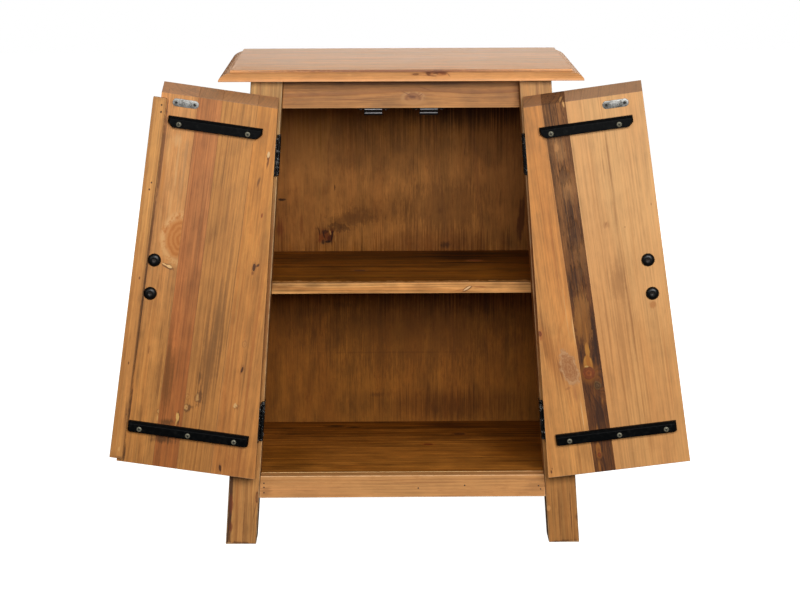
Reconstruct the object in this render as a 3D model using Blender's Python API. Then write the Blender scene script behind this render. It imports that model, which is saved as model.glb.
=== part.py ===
"""Tapered two-door bathroom cabinet, as an assembly of separate solids.

Units are metres in the scene; the driving dimensions below are millimetres.
Front faces -Y, +Z is up, the floor is z = 0.  Door pieces are drawn in the closed
position and carried by their leaning hinge line to the open rest position.
"""
import math
import bpy
import bmesh
from mathutils import Matrix, Vector

# ---------------------------------------------------------------- dimensions (mm)
TOP_W, TOP_D, TOP_T = 500.0, 320.0, 14.5     # top board, widest at its lower edge
TOP_OVER_F = 20.0                            # overhang in front of the legs
LEG_H = 667.5                                # underside of the top board
LEG = 44.0                                   # square leg section
BODY_D = 300.0                               # front of front legs to back of rear legs
A_BOT, A_TOP = 254.6, 206.5                  # half span over the legs, floor and top
GAP = 0.3                                    # clearance between touching pieces
Y_FRONT = -120.5                             # world Y of the front plane of the legs

WALL_IN, PANEL_T = 18.0, 20.0                # the walls' set-back from the front legs' inner faces; side panel
APRON_Y, APRON_T, APRON_Z = 25.0, 18.0, 625.7
RAIL_Y, RAIL_T, RAIL_Z0, RAIL_Z1 = 3.0, 18.0, 68.0, 100.6
FLOOR_Z0, FLOOR_Z1, FLOOR_Y = 92.0, 100.6, 21.3
BACK_Y, BACK_T = 293.4, 6.3
SHELF_Z0, SHELF_Z1, SHELF_Y = 356.4, 372.0, 52.3

DOOR_T = 22.0
DOOR_Z0 = 105.6
DOOR_ZI, DOOR_ZO = 632.3, 644.4              # top edge on the inner and on the outer face
DOOR_EDGE = 3.0                              # door edge to leg inner face, closed
DOOR_MID_L, DOOR_MID_R = -3.2, -0.7          # free edges, closed: the left one lies under its cover strip
AXIS_X, AXIS_FWD = 212.32, 4.7               # hinge line: at the floor, and in front of the legs
AXIS_LEAN = 0.0742                           # its lean, a touch more than the legs'
OPEN_L, OPEN_R = 180.0, 174.5                # rest opening angles, degrees

HINGE_Z = (564.5, 184.4)
HINGE_LEN, KNUCKLES = 52.0, 5
BARREL_R, BORE_R, PIN_R = 3.2, 1.6, 1.45
LEG_LEAF_T, DOOR_LEAF_T, LEAF_D = 0.9, 1.3, 19.5

STRAP_T, STRAP_CH = 9.0, 3.4                 # iron bars on the doors, and the chamfer along their top edge
STRAP_U_Z, STRAP_L_Z, STRAP_H = 594.7, 160.6, 14.8
BOLT_X, BOLT_Z, BOLT_R = 21.4, (399.6, 352.0), 8.8

LEAN = math.atan((A_BOT - A_TOP) / LEG_H)

for o in list(bpy.data.objects):
    bpy.data.objects.remove(o, do_unlink=True)


def half_out(z):
    return A_BOT + (A_TOP - A_BOT) * z / LEG_H


def half_in(z):
    return half_out(z) - LEG


# ---------------------------------------------------------------- materials
def material(name, rgb, rough, metal=0.0):
    m = bpy.data.materials.new(name)
    m.use_nodes = True
    b = m.node_tree.nodes["Principled BSDF"]
    b.inputs["Base Color"].default_value = (rgb[0], rgb[1], rgb[2], 1.0)
    b.inputs["Roughness"].default_value = rough
    b.inputs["Metallic"].default_value = metal
    m.diffuse_color = (rgb[0], rgb[1], rgb[2], 1.0)
    return m


PINE_TOP = material("pine_top", (0.62, 0.38, 0.24), 0.55)
PINE_FRAME = material("pine_frame", (0.55, 0.29, 0.12), 0.6)
PINE_PANEL = material("pine_panel", (0.42, 0.22, 0.10), 0.65)
PLY_BACK = material("ply_back", (0.40, 0.22, 0.11), 0.7)
BOARD_HONEY = material("board_honey", (0.60, 0.32, 0.12), 0.6)
BOARD_TAN = material("board_tan", (0.52, 0.29, 0.12), 0.6)
BOARD_RED = material("board_red", (0.42, 0.18, 0.08), 0.6)
BOARD_DARK = material("board_dark", (0.20, 0.10, 0.05), 0.75)
STRIP_PINE = material("strip_pine", (0.58, 0.31, 0.13), 0.6)
IRON = material("iron_black", (0.018, 0.020, 0.022), 0.5, 0.6)
ZINC = material("zinc_plate", (0.62, 0.62, 0.60), 0.35, 1.0)
SCREW = material("screw_zinc", (0.34, 0.32, 0.24), 0.4, 1.0)
CATCH = material("catch_brown", (0.16, 0.11, 0.08), 0.5)


# ---------------------------------------------------------------- solids
def new_mesh(name, verts, faces):
    me = bpy.data.meshes.new(name)
    me.from_pydata([tuple(v) for v in verts], [], faces)
    bm = bmesh.new()
    bm.from_mesh(me)
    bmesh.ops.recalc_face_normals(bm, faces=bm.faces)
    bm.to_mesh(me)
    bm.free()
    me.update()
    return me


def loft(loops):
    """Stack closed loops of equal length and cap both ends."""
    n = len(loops[0])
    verts, faces = [], []
    for lp in loops:
        verts += lp
    for k in range(len(loops) - 1):
        for i in range(n):
            j = (i + 1) % n
            faces.append((k * n + i, k * n + j, (k + 1) * n + j, (k + 1) * n + i))
    faces.append(tuple(reversed(range(n))))
    faces.append(tuple(range((len(loops) - 1) * n, len(loops) * n)))
    return verts, faces


def place(name, verts, faces, mat, carry=None):
    """Make one object; carry = (origin mm, 4x4) puts its origin on a joint line."""
    origin, rot = carry if carry else (Vector((0, 0, 0)), Matrix.Identity(4))
    vs = [(Vector(v) - origin) * 0.001 for v in verts]
    ob = bpy.data.objects.new(name, new_mesh(name, vs, faces))
    ob.data.materials.append(mat)
    bpy.context.scene.collection.objects.link(ob)
    at = (origin + Vector((0, Y_FRONT, 0))) * 0.001
    ob.matrix_world = Matrix.Translation(at) @ rot
    return ob


def box(name, x, y, z, mat, carry=None):
    lo = [(x[0], y[0], z[0]), (x[1], y[0], z[0]), (x[1], y[1], z[0]), (x[0], y[1], z[0])]
    hi = [(a, b, z[1]) for a, b, _ in lo]
    return place(name, *loft([lo, hi]), mat, carry)


def lean_box(name, x_of_z, y, z, mat, carry=None):
    """Box whose two X limits are functions of z."""
    loops = []
    for zz in z:
        a, b = x_of_z(zz)
        loops.append([(a, y[0], zz), (b, y[0], zz), (b, y[1], zz), (a, y[1], zz)])
    return place(name, *loft(loops), mat, carry)


def prism_y(name, poly_xz, y, mat, carry=None):
    loops = [[(a, yy, b) for a, b in poly_xz] for yy in y]
    return place(name, *loft(loops), mat, carry)


def prism_x(name, poly_yz, x, mat, carry=None):
    loops = [[(xx, a, b) for a, b in poly_yz] for xx in x]
    return place(name, *loft(loops), mat, carry)


def lathe_y(centre, profile, seg):
    """Solid of revolution about Y: profile is (y, r) from one end to the other."""
    cx, cz = centre
    loops = []
    for yy, r in profile:
        loops.append([(cx + r * math.cos(2 * math.pi * i / seg), yy,
                       cz + r * math.sin(2 * math.pi * i / seg)) for i in range(seg)])
    return loft(loops)


def boolean(ob, verts, faces, kind):
    cut = bpy.data.objects.new("cutter", new_mesh("cutter", verts, faces))
    bpy.context.scene.collection.objects.link(cut)
    cut.hide_render = True
    cut.display_type = "WIRE"
    cut.matrix_world = ob.matrix_world
    md = ob.modifiers.new("cut", "BOOLEAN")
    md.operation, md.solver, md.object = kind, "EXACT", cut
    bpy.context.view_layer.update()
    me = bpy.data.meshes.new_from_object(ob.evaluated_get(bpy.context.evaluated_depsgraph_get()))
    ob.modifiers.remove(md)
    old = ob.data
    ob.data = me
    me.name = ob.name
    bpy.data.meshes.remove(old)
    bpy.data.objects.remove(cut, do_unlink=True)


# ---------------------------------------------------------------- carcass
def build_top():
    prof = [(0.0, 0.0), (0.0, 2.2), (1.2, 4.2), (4.5, 7.0), (9.5, 9.6), (14.6, 11.4),
            (15.4, 12.0), (15.8, 14.0), (16.4, TOP_T)]
    loops = []
    yb = TOP_D - TOP_OVER_F
    for d, h in prof:
        x, yf, z = TOP_W / 2 - d, -TOP_OVER_F + d, LEG_H + h
        loops.append([(-x, yf, z), (x, yf, z), (x, yb, z), (-x, yb, z)])
    place("top_board", *loft(loops), PINE_TOP)


build_top()

for tag, s in (("left", -1), ("right", 1)):
    for row, y0, w in (("front", 0.0, 0.0), ("rear", BODY_D - LEG, WALL_IN)):
        lean_box("leg_%s_%s" % (row, tag),
                 lambda z, s=s, w=w: sorted((s * (half_in(z) + w), s * half_out(z))),
                 (y0, y0 + LEG), (0.0, LEG_H - GAP), PINE_FRAME)
    lean_box("side_panel_%s" % tag,
             lambda z, s=s: sorted((s * (half_in(z) + WALL_IN), s * (half_in(z) + WALL_IN + PANEL_T))),
             (LEG + GAP, BODY_D - LEG - GAP), (RAIL_Z0, LEG_H - GAP), PINE_PANEL)
    lean_box("shelf_cleat_%s" % tag,
             lambda z, s=s: sorted((s * (half_in(z) + WALL_IN - GAP), s * (half_in(z) + WALL_IN - GAP - 10.0))),
             (56.0, 246.0), (SHELF_Z0 - GAP - 20.0, SHELF_Z0 - GAP), PINE_PANEL)

between = lambda z: (-(half_in(z) - GAP), half_in(z) - GAP)
walls = lambda z: (-(half_in(z) + WALL_IN - GAP), half_in(z) + WALL_IN - GAP)
lean_box("top_front_rail", between, (APRON_Y, APRON_Y + APRON_T), (APRON_Z, LEG_H - GAP), PINE_FRAME)
lean_box("bottom_front_rail", between, (RAIL_Y, RAIL_Y + RAIL_T), (RAIL_Z0, RAIL_Z1), PINE_FRAME)
lean_box("top_rear_rail", walls, (BACK_Y - GAP - APRON_T, BACK_Y - GAP), (APRON_Z, LEG_H - GAP), PINE_FRAME)
lean_box("back_panel", walls, (BACK_Y, BACK_Y + BACK_T), (RAIL_Z0, LEG_H - GAP), PLY_BACK)
lean_box("shelf", walls, (SHELF_Y, BACK_Y - GAP), (SHELF_Z0, SHELF_Z1), PINE_PANEL)


def build_floor():
    """Floor panel, notched round the front legs."""
    loops = []
    for z in (FLOOR_Z0, FLOOR_Z1):
        n, w = between(z)[1], walls(z)[1]
        right = [(n, FLOOR_Y), (n, LEG + GAP), (w, LEG + GAP), (w, BACK_Y - GAP)]
        loops.append([(x, y, z) for x, y in right] + [(-x, y, z) for x, y in reversed(right)])
    place("floor_panel", *loft(loops), PINE_PANEL)


build_floor()

for tag, s in (("left", -1), ("right", 1)):
    cx, zt = s * 38.6, APRON_Z - GAP
    poly = [(cx - 23, zt), (cx - 23, zt - 2.4), (cx - 13, zt - 2.4), (cx - 13, zt - 12),
            (cx + 13, zt - 12), (cx + 13, zt - 2.4), (cx + 23, zt - 2.4), (cx + 23, zt)]
    prism_y("magnet_catch_%s" % tag, poly, (25.6, 40.0), CATCH)


# ---------------------------------------------------------------- doors
def axis_x(z):
    return AXIS_X - math.tan(AXIS_LEAN) * z


def joint_frame(s, z):
    """Point on the hinge line of side s at height z, mm, and the lean about Y."""
    p = Vector((s * axis_x(z), -AXIS_FWD, z))
    return p, Matrix.Rotation(-s * AXIS_LEAN, 4, "Y")


def carry_of(s, opening):
    origin, lean = joint_frame(s, 0.0)
    axis = lean.to_3x3() @ Vector((0, 0, 1))
    return origin, Matrix.Rotation(math.radians(s * opening), 4, axis)


def board(name, x0, x1, mat, carry):
    """Door board: x0, x1 are functions of z; the top end is cut on a slope."""
    loops = []
    for fx in (x0, x1):
        loops.append([(fx(DOOR_Z0), 0.0, DOOR_Z0), (fx(DOOR_Z0), DOOR_T, DOOR_Z0),
                      (fx(DOOR_ZI), DOOR_T, DOOR_ZI), (fx(DOOR_ZO), 0.0, DOOR_ZO)])
    return place(name, *loft(loops), mat, carry)


def line(x_low, x_high):
    return lambda z: x_low + (x_high - x_low) * (z - DOOR_Z0) / (DOOR_ZO - DOOR_Z0)


def shift(f, d):
    return lambda z: f(z) + d


def bar(name, s, x, zc, clip, y, carry):
    """Iron bar on the inner face: top front edge and both ends chamfered, lower corners clipped."""
    zl, zh, e, h = zc - STRAP_H / 2, zc + STRAP_H / 2, 2.0, STRAP_CH
    loops = []
    for yy, dx, dz in ((y, 0.0, 0.0), (y + STRAP_T - h, 0.0, 0.0), (y + STRAP_T, e, h)):
        a, b = x[0] + dx, x[1] - dx
        loops.append([(s * px, yy, pz) for px, pz in
                      ((a, zh - dz), (b, zh - dz), (b, zl + clip), (b - clip, zl), (a + clip, zl), (a, zl + clip))])
    place(name, *loft(loops), IRON, carry)


def screw_head(name, x, z, y, mat, carry):
    prof = [(y, 3.5), (y + 0.5, 3.6), (y + 1.0, 3.0), (y + 1.4, 1.9), (y + 1.5, 0.9)]
    place(name, *lathe_y((x, z), prof, 12), mat, carry)


def bolt(name, x, z, carry):
    prof = [(0.3, 2.9), (DOOR_T - 0.6, 2.9), (DOOR_T + 0.3, 2.9), (DOOR_T + 0.3, BOLT_R),
            (DOOR_T + 1.3, BOLT_R), (DOOR_T + 2.9, 7.9), (DOOR_T + 4.1, 6.0), (DOOR_T + 4.7, 3.5)]
    place(name, *lathe_y((x, z), prof, 20), IRON, carry)


def handle(name, x, carry):
    """Bow pull on the outer face, one flat bar bent twice."""
    z0, z1 = BOLT_Z[1] - 6.0, BOLT_Z[0] + 6.0
    y0, yo, t = -0.3, -27.0, 5.0
    r = 9.0

    def arc(cy, cz, rad, a0, a1, n=4):
        return [(cy + rad * math.cos(math.radians(a0 + (a1 - a0) * i / n)),
                 cz + rad * math.sin(math.radians(a0 + (a1 - a0) * i / n))) for i in range(n + 1)]

    outer = [(y0, z0 - 6.0)] + [(y0 - t, z0 - 6.0), (y0 - t, z0 - 0.5)] \
        + arc(yo + r, z0 + r, r, 270, 180) + arc(yo + r, z1 - r, r, 180, 90) \
        + [(y0 - t, z1 + 0.5), (y0 - t, z1 + 6.0), (y0, z1 + 6.0)]
    ri = r - t
    inner = [(y0, z1 - t)] + arc(yo + r, z1 - r, ri, 90, 180) + arc(yo + r, z0 + r, ri, 180, 270) \
        + [(y0, z0 + t)]
    prism_x(name, outer + inner, (x - 5.5, x + 5.5), IRON, carry)


for tag, s, opening in (("left", -1, OPEN_L), ("right", 1, OPEN_R)):
    carry = carry_of(s, opening)
    edge = lambda z, s=s: s * (half_in(z) - DOOR_EDGE)
    mid = line(DOOR_MID_L, DOOR_MID_L) if s < 0 else line(DOOR_MID_R, DOOR_MID_R)
    if s < 0:
        cuts = [(line(-53.7, -53.7), BOARD_HONEY), (line(-88.0, -86.6), BOARD_RED),
                (line(-136.0, -134.4), BOARD_TAN), (edge, BOARD_HONEY)]
    else:
        cuts = [(line(104.2, 104.6), BOARD_TAN), (line(133.4, 136.8), BOARD_DARK), (edge, BOARD_HONEY)]
    start = mid
    for i, (stop, mat) in enumerate(cuts):
        ob = board("%s_door_board_%d" % (tag, i + 1), start, stop, mat, carry)
        if i == 0:
            for z in BOLT_Z:
                v, f = lathe_y((s * BOLT_X, z), [(-4.0, 3.3), (DOOR_T + 4.0, 3.3)], 20)
                origin = carry[0]
                boolean(ob, [(Vector(p) - origin) * 0.001 for p in v], f, "DIFFERENCE")
        start = shift(stop, s * GAP)

    y = DOOR_T + GAP
    if s < 0:
        ux, lx, us, ls = (16.9, 146.2), (13.8, 183.8), (32.2, 126.5), (30.1, 98.3, 163.5)
        box("left_door_cover_strip", (-11.7, 6.8), (y, y + 6.4), (111.2, 625.1), STRIP_PINE, carry)
    else:
        ux, lx, us, ls = (16.7, 144.6), (12.0, 181.7), (36.0, 129.3), (26.7, 92.2, 162.5)
    bar("%s_door_upper_strap" % tag, s, ux, STRAP_U_Z, 6.0, y, carry)
    bar("%s_door_lower_strap" % tag, s, lx, STRAP_L_Z, 1.4, y, carry)
    for i, x in enumerate(us):
        screw_head("%s_upper_strap_screw_%d" % (tag, i + 1), s * x, STRAP_U_Z - 2.2, y + STRAP_T + GAP, SCREW, carry)
    for i, x in enumerate(ls):
        screw_head("%s_lower_strap_screw_%d" % (tag, i + 1), s * x, STRAP_L_Z - 2.2, y + STRAP_T + GAP, SCREW, carry)

    px, pz, hw, hh = s * 37.5, 621.0 if s < 0 else 620.0, 18.0, 5.4
    poly = []
    for k in range(16):
        a = 2 * math.pi * (k + 0.5) / 16
        poly.append((px + (hw - hh) * (1 if math.cos(a) > 0 else -1) + hh * math.cos(a), pz + hh * math.sin(a)))
    prism_y("%s_strike_plate" % tag, poly, (y, y + 1.4), ZINC, carry)

    handle("%s_handle" % tag, s * BOLT_X, carry)
    for i, z in enumerate(BOLT_Z):
        bolt("%s_handle_bolt_%d" % (tag, i + 1), s * BOLT_X, z, carry)


# ---------------------------------------------------------------- hinges
def ring(z0, z1, seg=16):
    """Tube round the local Z axis."""
    n = seg
    verts, faces = [], []
    for r in (BARREL_R, BORE_R):
        for z in (z0, z1):
            verts += [(r * math.cos(2 * math.pi * i / n), r * math.sin(2 * math.pi * i / n), z) for i in range(n)]
    for i in range(n):
        j = (i + 1) % n
        faces += [(i, j, n + j, n + i), (2 * n + i, 3 * n + i, 3 * n + j, 2 * n + j),
                  (i, 2 * n + i, 2 * n + j, j), (n + i, n + j, 3 * n + j, 3 * n + i)]
    return verts, faces


def leaf(name, side_x, own, q0, at, rot):
    """One hinge leaf with its share of the knuckles, in the hinge line's frame."""
    step = HINGE_LEN / KNUCKLES
    h = HINGE_LEN / 2
    q1, q2 = BARREL_R + GAP + 0.2, AXIS_FWD + LEAF_D
    comb = []
    for k in range(KNUCKLES):
        a, b = -h + k * step, -h + (k + 1) * step
        q = q0 if k in own else q1
        comb += [(q, a + (0.0 if k == 0 else 0.25)), (q, b - (0.0 if k == KNUCKLES - 1 else 0.25))]
        if k not in own:
            comb[-2:] = [(q, a - 0.25), (q, b + 0.25)]
    pts = comb + [(q2, h), (q2, -h)]
    loops = [[(x, q, z) for q, z in pts] for x in side_x]
    v, f = loft(loops)
    ob = bpy.data.objects.new(name, new_mesh(name, [Vector(p) * 0.001 for p in v], f))
    ob.data.materials.append(IRON)
    bpy.context.scene.collection.objects.link(ob)
    ob.matrix_world = Matrix.Translation((at + Vector((0, Y_FRONT, 0))) * 0.001) @ rot
    for k in own:
        a = -h + k * step + (0.0 if k == 0 else 0.25)
        b = -h + (k + 1) * step - (0.0 if k == KNUCKLES - 1 else 0.25)
        rv, rf = ring(a, b)
        boolean(ob, [Vector(p) * 0.001 for p in rv], rf, "UNION")


def pin(name, at, rot):
    h = HINGE_LEN / 2
    prof = [(-h - 3.0, 1.2), (-h - 2.4, 2.4), (-h - 1.2, 2.9), (-h - 0.4, 2.6), (-h - 0.4, PIN_R),
            (h + 0.4, PIN_R), (h + 0.4, 2.6), (h + 1.2, 2.9), (h + 2.4, 2.4), (h + 3.0, 1.2)]
    n = 12
    loops = [[(r * math.cos(2 * math.pi * i / n), r * math.sin(2 * math.pi * i / n), z) for i in range(n)]
             for z, r in prof]
    v, f = loft(loops)
    ob = bpy.data.objects.new(name, new_mesh(name, [Vector(p) * 0.001 for p in v], f))
    ob.data.materials.append(IRON)
    bpy.context.scene.collection.objects.link(ob)
    ob.matrix_world = Matrix.Translation((at + Vector((0, Y_FRONT, 0))) * 0.001) @ rot


for tag, s, opening in (("left", -1, OPEN_L), ("right", 1, OPEN_R)):
    for row, z in zip(("upper", "lower"), HINGE_Z):
        at, lean = joint_frame(s, z)
        axis_in = (half_in(z) - axis_x(z)) * math.cos(AXIS_LEAN)
        x_leg = axis_in - GAP
        x_door = axis_in - DOOR_EDGE + GAP
        swing = Matrix.Rotation(math.radians(s * opening), 4, "Z")
        leaf("%s_%s_hinge_leg_leaf" % (tag, row), (s * (x_leg - LEG_LEAF_T), s * x_leg), (0, 2, 4), 1.9, at, lean)
        leaf("%s_%s_hinge_door_leaf" % (tag, row), (s * x_door, s * (x_door + DOOR_LEAF_T)), (1, 3), 0.5, at, lean @ swing)
        pin("%s_%s_hinge_pin" % (tag, row), at, lean)
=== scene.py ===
"""Looks for the tapered bathroom cabinet: finishes, fine hardware, studio and camera.

Lengths inside the material code are millimetres in each piece's own board frame:
a runs across the board, d through its thickness and g along the grain.
"""
import math

import bmesh
import bpy
from mathutils import Matrix, Vector


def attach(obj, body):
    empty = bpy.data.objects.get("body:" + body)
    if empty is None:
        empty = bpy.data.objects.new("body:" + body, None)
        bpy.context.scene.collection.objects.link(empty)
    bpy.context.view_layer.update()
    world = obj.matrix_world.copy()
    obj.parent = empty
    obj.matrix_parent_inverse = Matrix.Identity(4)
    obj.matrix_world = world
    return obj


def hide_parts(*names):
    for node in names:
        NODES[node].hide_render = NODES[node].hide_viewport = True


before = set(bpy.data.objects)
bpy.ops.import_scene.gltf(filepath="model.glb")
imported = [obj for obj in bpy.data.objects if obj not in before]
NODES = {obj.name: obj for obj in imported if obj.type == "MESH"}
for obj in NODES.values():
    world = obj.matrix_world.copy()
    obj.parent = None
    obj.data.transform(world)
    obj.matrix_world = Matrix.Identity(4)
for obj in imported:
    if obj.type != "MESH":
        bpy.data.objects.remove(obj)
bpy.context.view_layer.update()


# ------------------------------------------------------------------ frame facts (mm)
YF = -120.5
A_BOT, A_TOP, LEG_H, LEG = 254.6, 206.5, 667.5, 44.0
LK = (A_TOP - A_BOT) / LEG_H
LEAN = -math.atan(LK)
SL, CL = math.sin(LEAN), math.cos(LEAN)
AXIS_X, AXIS_FWD, AXIS_LEAN = 212.32, 4.7, 0.0742
OPEN = {-1: 180.0, 1: 174.5}
DOOR_T = 22.0
DOOR_Z0, DOOR_ZI, DOOR_ZO = 105.6, 632.3, 644.4


def half_in(z):
    return A_BOT + LK * z - LEG


def door_turn(s):
    """Closed door coordinates (mm) to the rest frame (mm), as a matrix."""
    q = Vector((s * AXIS_X, -AXIS_FWD, 0.0))
    axis = Vector((-s * math.sin(AXIS_LEAN), 0.0, math.cos(AXIS_LEAN)))
    return (Matrix.Translation(Vector((0, YF, 0))) @ Matrix.Translation(q)
            @ Matrix.Rotation(math.radians(s * OPEN[s]), 4, axis) @ Matrix.Translation(-q))


TURN = {s: door_turn(s) for s in (-1, 1)}


# ------------------------------------------------------------------ node building
def lin(rgb):
    out = []
    for v in rgb:
        v = v / 255.0
        out.append(v / 12.92 if v <= 0.04045 else ((v + 0.055) / 1.055) ** 2.4)
    return tuple(out) + (1.0,)


class Val:
    """A number coming out of a node, with arithmetic."""

    def __init__(self, net, sock):
        self.net, self.sock = net, sock

    def __add__(self, o):
        return self.net.m("ADD", self, o)

    __radd__ = __add__

    def __sub__(self, o):
        return self.net.m("SUBTRACT", self, o)

    def __rsub__(self, o):
        return self.net.m("SUBTRACT", o, self)

    def __mul__(self, o):
        return self.net.m("MULTIPLY", self, o)

    __rmul__ = __mul__

    def __truediv__(self, o):
        return self.net.m("DIVIDE", self, o)


class Tree:
    """Short hand for adding nodes to one node tree."""

    def __init__(self, tree):
        self.tree = tree

    def feed(self, sock, v):
        if isinstance(v, Val):
            self.tree.links.new(v.sock, sock)
        elif isinstance(v, bpy.types.NodeSocket):
            self.tree.links.new(v, sock)
        else:
            sock.default_value = v

    def m(self, op, a, b=None, c=None):
        n = self.tree.nodes.new("ShaderNodeMath")
        n.operation = op
        for i, v in enumerate((a, b, c)):
            if v is not None:
                self.feed(n.inputs[i], v)
        return Val(self, n.outputs[0])

    def ramp(self, x, lo, hi, smooth=True):
        """0 at lo, 1 at hi."""
        n = self.tree.nodes.new("ShaderNodeMapRange")
        n.interpolation_type = "SMOOTHSTEP" if smooth else "LINEAR"
        n.clamp = True
        self.feed(n.inputs["Value"], x)
        self.feed(n.inputs["From Min"], lo)
        self.feed(n.inputs["From Max"], hi)
        return Val(self, n.outputs[0])

    def vec(self, a, b, c):
        n = self.tree.nodes.new("ShaderNodeCombineXYZ")
        for i, v in enumerate((a, b, c)):
            self.feed(n.inputs[i], v)
        return n.outputs[0]

    def vmad(self, p, k, o):
        """p * k + o on vectors."""
        n = self.tree.nodes.new("ShaderNodeVectorMath")
        n.operation = "MULTIPLY_ADD"
        for i, v in enumerate((p, k, o)):
            self.feed(n.inputs[i], v)
        return n.outputs[0]

    def noise(self, v, detail=2.0, rough=0.5, dist=0.0):
        n = self.tree.nodes.new("ShaderNodeTexNoise")
        n.inputs["Scale"].default_value = 1.0
        n.inputs["Detail"].default_value = detail
        n.inputs["Roughness"].default_value = rough
        n.inputs["Distortion"].default_value = dist
        self.tree.links.new(v, n.inputs["Vector"])
        return Val(self, n.outputs[0])

    def white(self, x):
        n = self.tree.nodes.new("ShaderNodeTexWhiteNoise")
        n.noise_dimensions = "1D"
        self.feed(n.inputs["W"], x)
        return Val(self, n.outputs["Value"])

    def mix(self, fac, a, b, kind="MIX"):
        n = self.tree.nodes.new("ShaderNodeMix")
        n.data_type = "RGBA"
        n.blend_type = kind
        n.clamp_factor = True
        self.feed(n.inputs[0], fac)
        self.feed(n.inputs[6], a)
        self.feed(n.inputs[7], b)
        return n.outputs[2]

    def scale(self, colour, k):
        """Colour times a number."""
        n = self.tree.nodes.new("ShaderNodeVectorMath")
        n.operation = "SCALE"
        self.feed(n.inputs[0], colour[:3] if isinstance(colour, tuple) else colour)
        self.feed(n.inputs["Scale"], k)
        return n.outputs[0]

    def use(self, group, **links):
        """Node of a shared group, its inputs set or linked by name."""
        n = self.tree.nodes.new("ShaderNodeGroup")
        n.node_tree = group
        for key, v in links.items():
            self.feed(n.inputs[key], v)
        return n.outputs


class Mat(Tree):
    def __init__(self, name):
        self.mat = bpy.data.materials.new(name)
        self.mat.use_nodes = True
        super().__init__(self.mat.node_tree)
        self.tree.nodes.clear()
        out = self.tree.nodes.new("ShaderNodeOutputMaterial")
        self.bsdf = self.tree.nodes.new("ShaderNodeBsdfPrincipled")
        self.tree.links.new(self.bsdf.outputs[0], out.inputs[0])
        self.coord = self.tree.nodes.new("ShaderNodeTexCoord").outputs["Object"]

    def along(self, axis, offset):
        n = self.tree.nodes.new("ShaderNodeVectorMath")
        n.operation = "DOT_PRODUCT"
        self.tree.links.new(self.coord, n.inputs[0])
        n.inputs[1].default_value = [v * 1000.0 for v in axis]
        return self.m("ADD", Val(self, n.outputs["Value"]), offset)

    def bump(self, height, strength, distance):
        n = self.tree.nodes.new("ShaderNodeBump")
        n.inputs["Strength"].default_value = strength
        n.inputs["Distance"].default_value = distance
        self.feed(n.inputs["Height"], height)
        self.tree.links.new(n.outputs[0], self.bsdf.inputs["Normal"])


def new_group(name, ins, outs):
    """Shared node group: ins and outs are names, a colour's name starts with a capital C_."""
    g = bpy.data.node_groups.new(name, "ShaderNodeTree")
    for key in ins:
        g.interface.new_socket(name=key, in_out="INPUT", socket_type="NodeSocketColor" if key.startswith("C_") else "NodeSocketFloat")
    for key in outs:
        g.interface.new_socket(name=key, in_out="OUTPUT", socket_type="NodeSocketColor" if key.startswith("C_") else "NodeSocketFloat")
    t = Tree(g)
    gi, go = g.nodes.new("NodeGroupInput"), g.nodes.new("NodeGroupOutput")
    return g, t, {k_: (gi.outputs[k_] if k_.startswith("C_") else Val(t, gi.outputs[k_])) for k_ in ins}, go.inputs


def make_grain():
    """Growth rings about a leaning pith line, with the noises that the wood shares."""
    g, t, i, out = new_group("pine_grain", ["A", "D", "G", "Seed", "Ring", "PithA", "PithD", "TiltA", "TiltD", "Wander", "Flow"],
                             ["Late", "Fibre", "Streak", "Broad", "Tone", "Blotch", "Wob", "Pore", "Chew", "Flake"])
    p = t.vec(i["A"], i["D"], i["G"])
    k = i["Seed"] * 17.31

    def nz(sa, sg, shift, detail=2.0, rough_=0.5):
        o = t.vec(k + shift, k * 0.7 - shift, k * 1.3 + shift * 0.5)
        return t.noise(t.vmad(p, (1.0 / sa, 1.0 / sa, 1.0 / sg), o), detail, rough_)

    wide, near = nz(62, 330, 1.0, 1.0) - 0.5, nz(13, 95, 2.0, 2.0) - 0.5
    ua = i["A"] + wide * i["Wander"] + near * 2.4 - i["G"] * i["TiltA"] - i["PithA"]
    ud = i["D"] - wide * i["Wander"] * 0.6 + near * 1.6 - i["G"] * i["TiltD"] - i["PithD"]
    r = t.m("SQRT", ua * ua + ud * ud) + i["Flow"]
    warp = t.noise(t.vec(r / (i["Ring"] * 2.6), k, 0.0), 1.0) - 0.5
    ph = r / i["Ring"] + warp * 2.4 + near * 0.5
    rv = t.white(t.m("FLOOR", ph) + k)
    f = t.m("FRACT", ph)
    late = t.ramp(f, 0.1, 0.84) * (1.0 - t.ramp(f, 0.87, 1.0)) * t.m("MULTIPLY_ADD", rv * rv, 1.15, 0.18)
    for key, v in (("Late", late), ("Fibre", nz(0.75, 34, 4.0, 2.5, 0.6)), ("Streak", nz(2.5, 150, 5.0, 3.0, 0.6)),
                   ("Broad", nz(8.5, 280, 6.0, 2.0)), ("Tone", nz(38, 300, 7.0, 2.0)), ("Blotch", nz(24, 44, 8.0, 3.0, 0.55)),
                   ("Wob", nz(5.0, 7.0, 9.0, 2.5, 0.6) - 0.5), ("Pore", nz(1.3, 55, 10.0, 1.0)), ("Chew", nz(7, 19, 11.0, 3.0, 0.6)),
                   ("Flake", nz(2.0, 24, 12.0, 3.5, 0.7))):
        t.feed(out[key], v)
    return g


def elliptic(t, i):
    da, dg = i["A"] - i["CA"], i["G"] - i["CG"]
    x = (da * i["Cos"] + dg * i["Sin"]) * i["IA"]
    y = (dg * i["Cos"] - da * i["Sin"]) * i["IG"]
    return x, y


SPOT = ["A", "G", "CA", "CG", "IA", "IG", "Cos", "Sin", "Wob"]


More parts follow.
